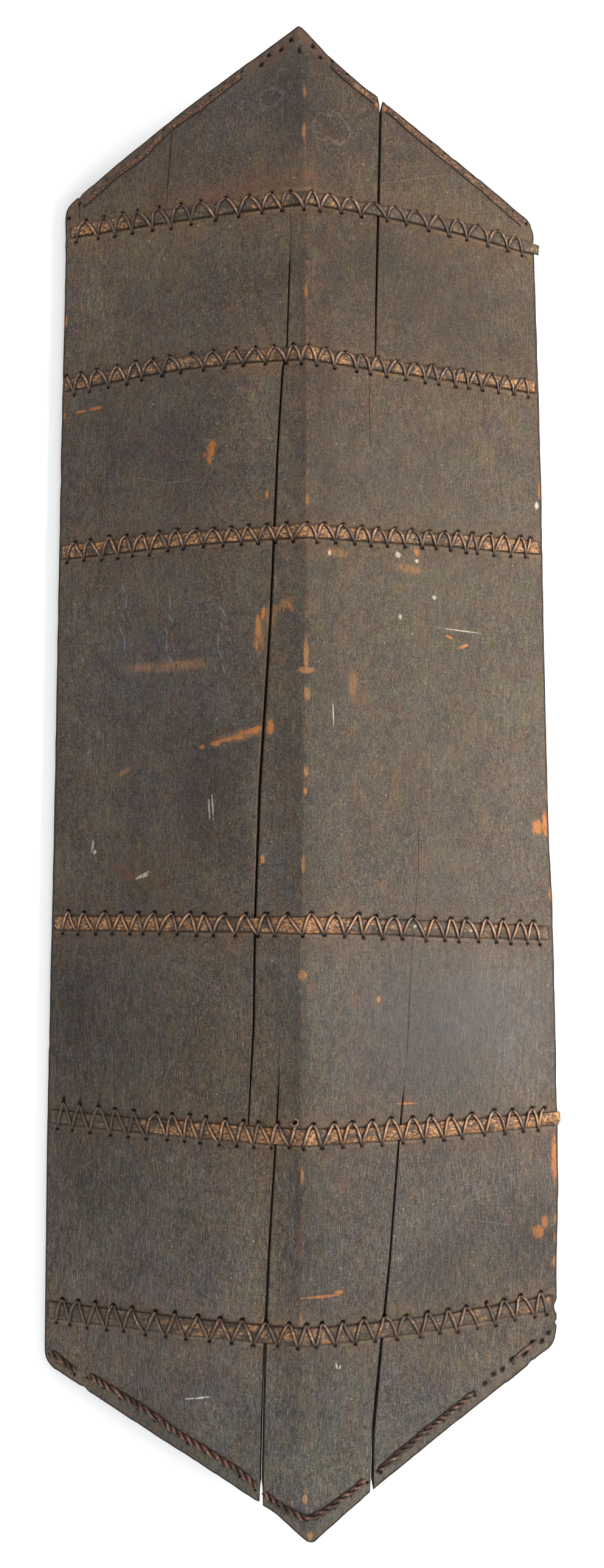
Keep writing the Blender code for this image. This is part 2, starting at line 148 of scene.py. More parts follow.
STITCHES = {
    1: ((-195, -176, -161, -146, -128, -113, -96, -75, -56, -37, -21, -4, 9, 27, 44, 65, 82, 102, 120, 136,
         155, 173, 187),
        (-187, -171, -155, -142, -123, -104, -88, -67, -48, -29, -14, 2, 17, 35, 54, 72, 91, 110, 127, 145,
         163, 180)),
    2: ((-196, -182, -166, -150, -136, -119, -104, -85, -68, -52, -35, -18, -6, 6, 21, 40, 51, 65, 81, 98,
         110, 125, 136, 149, 164, 178, 191),
        (-203, -190, -176, -159, -142, -128, -113, -95, -77, -59, -43, -28, -12, 0, 14, 30, 45, 58, 74, 90,
         104, 118, 132, 144, 157, 171, 187)),
    3: ((-201, -186, -170, -156, -143, -130, -114, -101, -84, -69, -54, -40, -26, -12, 7, 22, 38, 51, 65,
         80, 94, 107, 120, 133, 144, 158, 173, 187),
        (-194, -180, -164, -149, -135, -121, -106, -90, -76, -62, -48, -33, -18, -2, 13, 28, 43, 57, 71, 86,
         101, 114, 127, 139, 154, 168, 182, 192)),
    4: ((-202, -188, -173, -159, -144, -133, -119, -104, -89, -75, -58, -40, -26, -5, 12, 29, 44, 60, 76,
         96, 112, 125, 142, 157, 171, 185, 197),
        (-196, -183, -165, -150, -137, -123, -109, -94, -83, -65, -50, -33, -16, 2, 21, 41, 54, 70, 86, 104,
         118, 131, 149, 163, 178, 191)),
    5: ((-204, -191, -176, -159, -144, -129, -112, -98, -85, -70, -56, -43, -29, -15, -4, 11, 27, 42, 59,
         76, 94, 111, 127, 146, 163, 180, 194),
        (-199, -185, -169, -155, -140, -121, -108, -93, -80, -65, -51, -38, -24, -10, 4, 20, 35, 51, 66, 84,
         100, 117, 135, 154, 170, 188, 199)),
    6: ((-203, -192, -177, -161, -146, -128, -112, -96, -77, -60, -43, -24, -8, 6, 21, 36, 53, 71, 90, 106,
         121, 139, 154, 171, 188, 200),
        (-198, -184, -170, -155, -139, -120, -105, -86, -69, -52, -33, -15, -1, 11, 27, 44, 60, 78, 96, 113,
         129, 146, 162, 176, 194)),
}
# Stretches of a batten whose strands are gone: its number, and X from and to
BARE_STRETCHES = ((2, -0.1025, -0.0960), (6, 0.1420, 0.1440), (5, -0.0090, -0.0050))
STRAND_HALF_WIDTH = 0.00148
STRAND_HALF_HEIGHT = 0.00060
# How orange the cane and how bright the strands are rubbed at the same nine places, from 0 to 1
CANE_WEAR = {
    1: (0.95, 0.45, 0.25, 0.3, 0.45, 0.22, 0.16, 0.18, 0.22),
    2: (0.6, 0.35, 0.45, 0.35, 0.65, 0.35, 0.38, 0.55, 0.98),
    3: (0.55, 0.5, 0.75, 0.7, 0.85, 0.4, 0.45, 0.6, 0.9),
    4: (1.0, 0.75, 0.5, 0.3, 0.92, 0.3, 0.2, 0.22, 0.28),
    5: (0.0, 0.08, 0.6, 0.75, 0.6, 0.6, 0.65, 0.6, 0.72),
    6: (0.1, 0.18, 0.38, 0.35, 0.45, 0.22, 0.16, 0.2, 0.28),
}
STRAND_WEAR = {
    1: (0.5, 0.15, 0.2, 0.55, 0.62, 0.3, 0.22, 0.24, 0.34),
    2: (0.55, 0.42, 0.4, 0.42, 0.58, 0.28, 0.32, 0.28, 0.5),
    3: (0.3, 0.4, 0.55, 0.5, 0.6, 0.35, 0.45, 0.5, 0.7),
    4: (0.7, 0.8, 0.75, 0.65, 0.75, 0.95, 0.8, 0.8, 0.6),
    5: (0.0, 0.05, 0.55, 0.6, 0.55, 0.6, 0.65, 0.65, 0.7),
    6: (0.05, 0.15, 0.35, 0.35, 0.35, 0.2, 0.12, 0.2, 0.3),
}

# The rattan left along the slanting edges. Some has been pressed flat, and its half width is given.
BINDINGS = {
    "edge_binding_upper_left": ((-0.1915, 0.4785), (-0.164, 0.4967), (-0.1345, 0.514), (-0.112, 0.5325),
        (-0.0812, 0.5485), (-0.0535, 0.566)),
    "edge_binding_upper_middle": ((0.0185, 0.5735), (0.0362, 0.5602), (0.0573, 0.5478)),
    "edge_binding_upper_right": ((0.0655, 0.545), (0.092, 0.5277), (0.1258, 0.508), (0.156, 0.4905),
        (0.1895, 0.4695)),
    "edge_binding_left_corner": ((-0.2085, -0.4775), (-0.1976, -0.4836), (-0.1863, -0.4908)),
    "edge_binding_lower_left": ((-0.1755, -0.492), (-0.164, -0.4965), (-0.1358, -0.509), (-0.1082, -0.524),
        (-0.0677, -0.5438), (-0.0465, -0.5556), (-0.04, -0.562)),
    "edge_binding_lower_middle": ((-0.0345, -0.565), (-0.027, -0.571), (-0.003, -0.582), (0.015, -0.5765),
        (0.045, -0.5593)),
    "edge_binding_lower_right": ((0.0555, -0.5538), (0.096, -0.5278), (0.134, -0.5057)),
    "edge_binding_right_corner": ((0.168, -0.485), (0.179, -0.478), (0.193, -0.4715)),
}
FLAT_BINDINGS = {
    "edge_binding_upper_left": 0.0023, "edge_binding_upper_middle": 0.0024,
    "edge_binding_upper_right": 0.0025, "edge_binding_right_corner": 0.0012,
}
BINDING_PITCH = 0.0150
BINDING_STRAND = 0.0013
BARE_HOLES = (
    (-0.049, 0.578), (-0.038, 0.572), (-0.032, 0.579), (-0.022, 0.582), (-0.014, 0.589), (-0.007, 0.5805),
    (0.0036, 0.585), (0.0096, 0.577), (-0.202, 0.471), (0.0557, -0.554), (0.134, -0.506), (0.144, -0.5),
    (0.1515, -0.4935), (0.1596, -0.491), (0.168, -0.484), (0.179, -0.4815), (0.186, -0.473),
    (0.1946, -0.473), (0.2006, -0.467),
)


# ---------------------------------------------------------------- numbers over the plank

HILL_KNOTS = 97
HILL_START = 500
BAND_BLUR = (-0.015, 0.0, 0.015)
HOLE_SCATTER = 0.0004
# The adze's unevenness: height, steps across and up, and seed
ADZE_MARKS = ((0.00035, 0.055, 0.140, 11), (0.00012, 0.016, 0.060, 12))


def along(points, at, column=1):
    """Straight lines between points, whose first number is where and whose others are what."""
    table = np.array(points)
    return np.interp(at, table[:, 0], table[:, column])


def ridge_x(y):
    """X of the ridge."""
    return along(RIDGE_LINE, y)


def wing_width(y, right):
    """Distance from the ridge to a wing's foot, whose straight rim is carried on past the shoulders."""
    upper, lower = WING_FEET[right]
    return np.abs(upper + (lower - upper) * (SHOULDER_Y - y) / (2 * SHOULDER_Y) - ridge_x(y))


def smooth_step(value, low, high):
    """0 below low and 1 above high, and between them the cubic that is level at both."""
    share = np.clip((value - low) / (high - low), 0, 1)
    return share * share * (3 - 2 * share)


def hills(x, y, step_x, step_y, seed):
    """Smooth random hills from -1 to 1: a lattice of seeded values, blended by smoothed shares."""
    lattice = np.random.default_rng(seed).uniform(-1, 1, (HILL_KNOTS, HILL_KNOTS))
    across, up = np.asarray(x) / step_x + HILL_START, np.asarray(y) / step_y + HILL_START
    column, row = np.floor(across).astype(int), np.floor(up).astype(int)
    share_x, share_y = smooth_step(across - column, 0, 1), smooth_step(up - row, 0, 1)
    column, after = column % HILL_KNOTS, (column + 1) % HILL_KNOTS
    near, far = (
        lattice[line % HILL_KNOTS, column] * (1 - share_x) + lattice[line % HILL_KNOTS, after] * share_x
        for line in (row, row + 1)
    )
    return near * (1 - share_y) + far * share_y


def waves(at, step, seed, row=0):
    """The same hills along one line of their lattice."""
    return hills(at, row + 0 * at, step, 1, seed)


def wing_height(x, y):
    """The solid's front: wings that fall from a rounded ridge, partly in proportion and partly squared."""
    off = x - ridge_x(y)
    right = off > 0
    width = np.where(right, wing_width(y, 1), wing_width(y, 0))
    share = np.sqrt(off**2 + CREST_RADIUS**2) / width
    crown = np.where(right, CROWNS[1], CROWNS[0])
    return RIDGE_HEIGHT - (RIDGE_HEIGHT - RIM_HEIGHT) * ((1 - crown) * share + crown * share**2)


def front_height(x, y):
    """The wing with the adze's low unevenness: 0.35 mm over a hand's width and 0.12 mm over a finger's."""
    return wing_height(x, y) + sum(height * hills(x, y, *steps) for height, *steps in ADZE_MARKS)


def slope_x(x, y):
    """How steeply the front rises along X, over 1 mm."""
    return (wing_height(x + MM / 2, y) - wing_height(x - MM / 2, y)) / MM


def round_off(inset, radius, depth):
    """How far a rounded edge has dropped at an inset: a quarter ellipse that is level at the radius."""
    share = np.clip(1 - inset / radius, 0, 1)
    return depth * (1 - np.sqrt(1 - share**2))


def at_knots(x, values):
    """A band's value between its nine places: straight lines, averaged over 30 mm."""
    return sum(np.interp(np.asarray(x) + shift, BAND_KNOTS, values) for shift in BAND_BLUR) / len(BAND_BLUR)


def band_edges(x, number):
    """Y of a batten's lower and upper edge."""
    return tuple(at_knots(x, edge) * MM for edge in BATTEN_EDGES[number])


def stitch_holes(number):
    """X and Y of a lashing's holes from left to right, and 1 for each upper one."""
    draw = np.random.default_rng(40 + number)
    holes = []
    for upper, (row, reach, way) in enumerate(zip(STITCHES[number], OVERHANGS[number], (-1, 1))):
        x = np.array(row) * MM + draw.normal(0, HOLE_SCATTER, len(row))
        past = at_knots(x, reach) * MM + draw.normal(0, HOLE_SCATTER, len(row))
        holes += [(at_x, at_y, upper) for at_x, at_y in zip(x, band_edges(x, number)[upper] + way * past)]
    x, y, upper = np.array(sorted(holes)).T
    return x, y, upper


def binding_line(corners, step):
    """X and Y of places every step along a binding's straight lengths, and how far along each lies."""
    corners = np.array(corners)
    lengths = np.hypot(*np.diff(corners, axis=0).T)
    reached = np.concatenate([[0], np.cumsum(lengths)])
    at = np.linspace(0, reached[-1], max(2, round(reached[-1] / step)) + 1)
    return np.interp(at, reached, corners[:, 0]), np.interp(at, reached, corners[:, 1]), at


# ---------------------------------------------------------------- meshes

def shaded(name, points, faces, node, finish, values, crease):
    """A finished piece: smooth faces, creased past an angle, riding on the root in place of its solid."""
    mesh = bpy.data.meshes.new(name)
    mesh.from_pydata(points.tolist(), [], faces)
    mesh.shade_smooth()
    mesh.set_sharp_from_angle(angle=math.radians(crease))
    for key, value in values.items():
        layer = mesh.attributes.new(key, "FLOAT", "POINT")
        layer.data.foreach_set("value", value.astype(np.float32).ravel())
    mesh.materials.append(finish)
    piece = bpy.data.objects.new(name, mesh)
    bpy.context.scene.collection.objects.link(piece)
    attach(piece, "root")
    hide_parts(node)


def around(count):
    """Turns of the points of a ring."""
    return np.linspace(0, 2 * math.pi, count, endpoint=False)


def tube_faces(rings, count, start=0):
    """Faces of rings of points: quads from each ring to the next, and a flat cap on both end rings."""
    row, column = np.meshgrid(np.arange(rings - 1), np.arange(count), indexing="ij")
    after = (column + 1) % count
    here, over = start + row * count, start + (row + 1) * count
    quads = np.stack([here + column, here + after, over + after, over + column], -1)
    first = list(range(start + count - 1, start - 1, -1))
    last = list(range(start + (rings - 1) * count, start + rings * count))
    return [*quads.reshape(-1, 4).tolist(), first, last]


def tubes(path, side, up, half_width, half_height, count):
    """Closed tubes: at each point of each path an oval, cos and sin of the turn times a width along side
    and a height along up. The arrays hold tubes, points along and X, Y, Z."""
    turn = around(count)
    rings = (
        path[:, :, None]
        + side[:, :, None] * (half_width[..., None] * np.cos(turn))[..., None]
        + up[:, :, None] * (half_height[..., None] * np.sin(turn))[..., None]
    )
    made, length = path.shape[:2]
    faces = sum((tube_faces(length, count, tube * length * count) for tube in range(made)), [])
    return rings.reshape(-1, 3), faces


def unit(vectors):
    """The vectors at a length of 1."""
    return vectors / np.maximum(np.linalg.norm(vectors, axis=-1, keepdims=True), 1e-12)


def surface_sides(path):
    """Side and up directions of strands on a wing: square to the run, and level with the wing across it."""
    slope = slope_x(path[..., 0], path[..., 1])
    run = unit(np.gradient(path, axis=1))
    out = np.stack([-slope, np.zeros_like(slope), np.ones_like(slope)], -1)
    side = unit(np.cross(unit(out), run))
    return side, np.cross(run, side)


# ---------------------------------------------------------------- the plank

BAND_REACH = 0.0130
EDGE_STRIP = RIM_STRIP / SLANT
HOLE_STRIP = 0.0150


def lane_lines(y):
    """X of the lines that the plank's columns follow: rims, lands, sides of each split, and the ridge."""
    middle = ridge_x(y)
    rims = along(LEFT_RIM, y), along(RIGHT_RIM, y)
    lands = []
    for right, way in ((0, -1), (1, 1)):
        crown = CROWNS[right]
        fall = (RIDGE_HEIGHT - THICKNESS) / (RIDGE_HEIGHT - RIM_HEIGHT)
        share = (math.sqrt((1 - crown) ** 2 + 4 * crown * fall) - (1 - crown)) / (2 * crown)
        lands.append(middle + way * share * wing_width(y, right))
    sides = [along(lane, y) + way * along(lane, y, 2) / 2 for lane in LANES.values() for way in (-1, 1)]
    return np.stack([rims[0], np.maximum(lands[0], rims[0] + RIM_STRIP), *sides[:4], middle, *sides[4:],
                     np.minimum(lands[1], rims[1] - RIM_STRIP), rims[1]])


def row_lines(x):
    """Y of the lines that the plank's rows follow: the slanting edges, two strips inside them, and both
    borders of each band of lashing."""
    bottom, top = along(BOTTOM_EDGE, x), along(TOP_EDGE, x)
    bands = [sum(band_edges(x, number)) / 2 + way * BAND_REACH
             for number in sorted(BATTEN_ENDS, reverse=True) for way in (-1, 1)]
    low, high = bottom + EDGE_STRIP, top - EDGE_STRIP
    return np.stack([
        bottom, low, np.minimum(bottom + HOLE_STRIP, (low + bands[0]) / 2), *bands,
        np.maximum(top - HOLE_STRIP, (high + bands[-1]) / 2), high, top,
    ])


# How many columns and rows each span between two lines has. Spans with none have the shares of a rim, and
# beside a split come two close columns, at shares of the widest span.
RIM_SHARES = (0.0, 0.07, 0.20, 0.42, 0.70)
SPLIT_SHARES = (0.0016, 0.0045)
LANE_COUNTS = (0, 108, 1, 9, 1, 13, 46, 1, 80, 0)
ROW_COUNTS = (0, 9, 24, 24, 15, 24, 17, 24, 33, 24, 14, 24, 13, 24, 24, 9, 0)
AFTER_SPLITS, BEFORE_SPLITS = (3, 5, 8), (1, 3, 6)
COARSE_COLUMNS, COARSE_ROWS = 6, 5
SETTLING_ROUNDS = 14


def shares_of(counts, near_splits):
    """For each line of the grid, its span, its share of that span, and whether the back keeps it."""
    coarse = COARSE_COLUMNS if near_splits else COARSE_ROWS
    spans, shares, kept = [], [], []
    for span, count in enumerate(counts):
        if count == 0:
            inside = RIM_SHARES if span == 0 else (0.0, *(1 - share for share in RIM_SHARES[:0:-1]))
            keep = [share == 0 for share in inside]
        else:
            inside = [k / count for k in range(count)]
            keep = [k % coarse == 0 for k in range(count)]
        if near_splits and count > 1:
            scale = max(counts) / count
            after = [share * scale for share in SPLIT_SHARES if span in AFTER_SPLITS]
            before = [1 - share * scale for share in reversed(SPLIT_SHARES) if span in BEFORE_SPLITS]
            inside = [0.0, *after, *inside[1:], *before]
            keep = [True, *(False for _ in after), *keep[1:], *(False for _ in before)]
        spans += [span] * len(inside)
        shares += inside
        kept += keep
    return np.array([*spans, len(counts) - 1]), np.array([*shares, 1.0]), np.array([*kept, True])


def columns_at(y, spans, shares):
    """X of every column, at its share between two of the lines that run up the plank."""
    lines = lane_lines(y)
    index = np.arange(len(spans))
    low, high = lines[spans, :, index].T, lines[spans + 1, :, index].T
    return low + (high - low) * shares


def rows_at(x, spans, shares):
    """Y of every row, at its share between two of the lines that run across the plank."""
    lines = row_lines(x)
    index = np.arange(len(spans))
    low, high = lines[spans, index], lines[spans + 1, index]
    return low + (high - low) * shares[:, None]


def round_corners(x, y):
    """Moves what lies in a shoulder's fan onto circles round the fan's centre: a point as deep inside the
    sharp corner as t goes to the circle of the corner's radius less t."""
    rims = [[np.array(place[::-1]) for place in (rim[0], rim[-1])] for rim in (LEFT_RIM, RIGHT_RIM)]
    for side, upper, slant in ((0, 1, TOP_EDGE[3]), (1, 1, TOP_EDGE[-3]),
                               (0, 0, BOTTOM_EDGE[2]), (1, 0, BOTTOM_EDGE[-4])):
        corner = rims[side][upper]
        ways = unit(rims[side][1 - upper] - corner), unit(np.array(slant) - corner)
        half = math.acos(np.clip(ways[0] @ ways[1], -1, 1)) / 2
        centre = corner + unit(ways[0] + ways[1]) * SHOULDER_RADIUS / math.sin(half)
        reach = SHOULDER_RADIUS / math.tan(half)
        spoke = np.stack([x - centre[0], y - centre[1]], -1)
        in_fan = np.ones(x.shape, bool)
        depth = np.full(x.shape, SHOULDER_RADIUS)
        for way in ways:
            foot = corner + way * reach
            in_fan &= (np.stack([x, y], -1) - foot) @ way < 0
            depth = np.minimum(depth, SHOULDER_RADIUS - spoke @ unit(foot - centre))
        size = np.maximum(np.linalg.norm(spoke, axis=-1), 1e-9)
        scale = np.where(in_fan & (depth < SHOULDER_RADIUS), (SHOULDER_RADIUS - depth) / size, 1.0)
        x, y = centre[0] + spoke[..., 0] * scale, centre[1] + spoke[..., 1] * scale
    return x, y


# Chips: 1 on the right side or the top end, where along the edge, half its length there, and its depth
SIDE_CHIPS = (
    (1, -0.4466, 0.0058, 0.0026), (1, -0.4592, 0.0022, 0.0015), (1, 0.456, 0.003, 0.0008),
    (0, 0.244, 0.006, 0.0006), (0, -0.227, 0.007, 0.0007), (1, -0.26, 0.008, 0.0006),
)
END_CHIPS = (
    (1, -0.1925, 0.0016, 0.0022), (1, 0.124, 0.003, 0.0009), (0, 0.184, 0.0032, 0.0013),
    (0, -0.179, 0.0035, 0.0012), (0, -0.038, 0.0025, 0.0012),
)
CHIP_REACH = 0.0060
EDGE_ROUGHNESS = 0.00022
SIDES_END, ENDS_START = 0.50, 0.47
INSIDE_BOX = 0.0001
# How far the edges stand out past the solid's lines, left and right
EDGE_OUT = {"rim": (0.0002, 0.0012), "top": (0.0010, 0.0016), "bottom": (0.0009, 0.0013)}


def chip_edges(x, y, inset):
    """Pushes the outline out a little and in at each chip, by a parabola along the side edges and a notch
    along the end ones, both fading inwards, roughens all of it, and keeps it within the solid's box."""
    fade = np.exp(-inset / CHIP_REACH)
    for right, at, half, depth in SIDE_CHIPS:
        near = (x > 0) == bool(right)
        push = depth * np.clip(1 - ((y - at) / half) ** 2, 0, 1) * fade * near
        x = x - push * (1 if right else -1)
    for top, at, half, depth in END_CHIPS:
        near = (y > 0) == bool(top)
        push = depth * np.clip(1 - np.abs((x - at) / half), 0, 1) * fade * near
        y = y - push * (1 if top else -1)
    rough = EDGE_ROUGHNESS * (hills(x, y, 0.005, 0.007, 21) + hills(x, y, 0.013, 0.018, 22) - 0.4) * fade
    past = {"rim": x > 0, "bottom": x > ridge_x(y), "top": x > ridge_x(y)}
    side, bottom, top = (np.where(past[edge], EDGE_OUT[edge][1], EDGE_OUT[edge][0]) * fade for edge in past)
    x = x + np.sign(x) * (rough + side) * (np.abs(y) < SIDES_END)
    y = y + np.sign(y) * (rough + np.where(y > 0, top, bottom)) * (np.abs(y) > ENDS_START)
    low, high = CAD_BOX
    return tuple(np.clip(value, low[axis] + INSIDE_BOX, high[axis] - INSIDE_BOX)
                 for axis, value in enumerate((x, y)))


def border_walks(kept):
    """Edges between kept cells and the rest, as row and column of both ends, walked so that a wall made
    below them faces out."""
    cells = np.pad(kept, 1)
    below, above = cells[:-1, 1:-1], cells[1:, 1:-1]
    left, right = cells[1:-1, :-1], cells[1:-1, 1:]
    walks = []
    for edge, start, end in (
        (above & ~below, (0, 1), (0, 0)),
        (below & ~above, (0, 0), (0, 1)),
        (right & ~left, (0, 0), (1, 0)),
        (left & ~right, (1, 0), (0, 0)),
    ):
        place = np.argwhere(edge)
        walks.append(np.concatenate([place + start, place + end], 1))
    return np.concatenate(walks)


def plank_cells(spans, rows_y, coarse_rows):
    """Which cells of the grid are wood: all but the open lengths of a split's lane, cut at kept rows."""
    kept = np.ones((rows_y.shape[0] - 1, rows_y.shape[1] - 1), bool)
    for lane, lengths in OPEN_LENGTHS.items():
        column = int(np.argmax(spans == lane))
        heights = rows_y[coarse_rows, column]
        for low, high in lengths:
            first, last = (coarse_rows[int(np.argmin(np.abs(heights - end)))] for end in (low, high))
            kept[first:last, column] = False
    return kept


def split_inset(x, y):
    """Distance from the nearest open split's wall, beside it or past its ends."""
    nearest = np.full(x.shape, 1.0)
    for span, lane in LANES.items():
        beside = np.abs(x - along(lane, y)) - along(lane, y, 2) / 2
        for low, high in OPEN_LENGTHS[span]:
            past = np.maximum(np.maximum(low - y, y - high), 0)
            nearest = np.minimum(nearest, np.hypot(np.maximum(beside, 0), past))
    return nearest


LIP_STARTS, LIP_ENDS, LIP_WIDTHS = (-0.140, -0.080), (0.080, 0.150), (0.0006, 0.0013)


def split_lip(x, y):
    """1 along the worn left lip of the long split, over the middle of the board."""
    beside = along(LANE_LONG, y) - along(LANE_LONG, y, 2) / 2 - x
    length = smooth_step(y, *LIP_STARTS) * (1 - smooth_step(y, *LIP_ENDS))
    return length * (beside >= 0) * (1 - smooth_step(beside, *LIP_WIDTHS))


# Radii of the holes, the lower ones first, and how far out from the strand's end each middle lies
LASHING_HOLES = (0.0017, 0.0021)
BARE_HOLE_SIZES = (0.0026, 0.0021)
BINDING_HOLE = 0.0013
LASHING_HOLE_OUT = 0.0007
BINDING_HOLE_OUT = (0.0010, 0.0026)
# Where a hole is deepest and where it starts, in its radii
HOLE_FLOOR, HOLE_RIM = 0.35, 1.25


def pits(x, y):
    """How deep in a hole each point lies, from 0 at the edge to 1 in the middle."""
    holes = [(at_x, at_y + LASHING_HOLE_OUT * (1 if upper else -1), LASHING_HOLES[int(upper)])
             for number in BATTEN_ENDS for at_x, at_y, upper in zip(*stitch_holes(number))]
    holes += [(at_x, at_y, BARE_HOLE_SIZES[at_y > 0]) for at_x, at_y in BARE_HOLES]
    out_x, out_y = BINDING_HOLE_OUT
    for corners in BINDINGS.values():
        places = binding_line(corners, BINDING_PITCH)[:2]
        holes += [(at_x + out_x * np.sign(at_x), at_y + out_y * np.sign(at_y), BINDING_HOLE)
                  for at_x, at_y in zip(*places)]
    deep = np.zeros(x.shape)
    for at_x, at_y, radius in holes:
        near = np.hypot(x - at_x, y - at_y)
        deep = np.maximum(deep, 1 - smooth_step(near, HOLE_FLOOR * radius, HOLE_RIM * radius))
    return deep


# How much dust lies above each band, most near the ridge, how far off the battens it lies, and how wide
DUST_ABOVE = {1: 1.00, 2: 0.60, 3: 0.45, 4: 0.45, 5: 0.55, 6: 0.65}
DUST_MIDDLE, DUST_SPREAD, LEAST_DUST = -0.010, 0.055, 0.15
LINE_BELOW, LINE_ABOVE = (0.0021, 0.0010), (0.0024, 0.0026)
END_FADE = 0.004
DIRT_AND_SHADE_WIDTHS = (0.0001, 0.0012)
LEAST_STAIN = 0.45
STAIN_REACH, STAIN_SPREAD = 0.004, 0.010


def bell(at, middle, width):
    """A bell-shaped share: e to the power of minus the square of the widths away from the middle."""
    return np.exp(-((at - middle) / width) ** 2)


def band_shade(x, y):
    """Grime and painted shade in the corners beside the battens, warm stain round them and dust beside them,
    from 0 to 1.
    """
    dirt_and_shade, warm, dust = np.zeros(x.shape), np.zeros(x.shape), np.zeros(x.shape)
    for number, (left, right) in BATTEN_ENDS.items():
        low, high = band_edges(x, number)
        off = np.maximum(low - y, y - high)
        held = smooth_step(x, left - END_FADE, left) * (1 - smooth_step(x, right, right + END_FADE))
        uneven = 0.5 + 0.5 * hills(x, y, 0.020, 0.010, 30 + number)
        stain = LEAST_STAIN + (1 - LEAST_STAIN) * uneven
        # The corner mask is painted shade where a batten meets the board, with some grime.
        dirt_and_shade = np.maximum(dirt_and_shade, held * (1 - smooth_step(off, *DIRT_AND_SHADE_WIDTHS)) * stain)
        reach = STAIN_REACH + STAIN_SPREAD * uneven
        warm = np.maximum(warm, held * np.exp(-np.maximum(off, 0) / reach) * stain)
        dust = np.maximum(dust, held * uneven * bell(low - y, *LINE_BELOW))
        share = DUST_ABOVE[number] * (LEAST_DUST + (1 - LEAST_DUST) * bell(x, DUST_MIDDLE, DUST_SPREAD))
        dust = np.maximum(dust, held * uneven * share * bell(y - high, *LINE_ABOVE))
    return dirt_and_shade, warm, dust
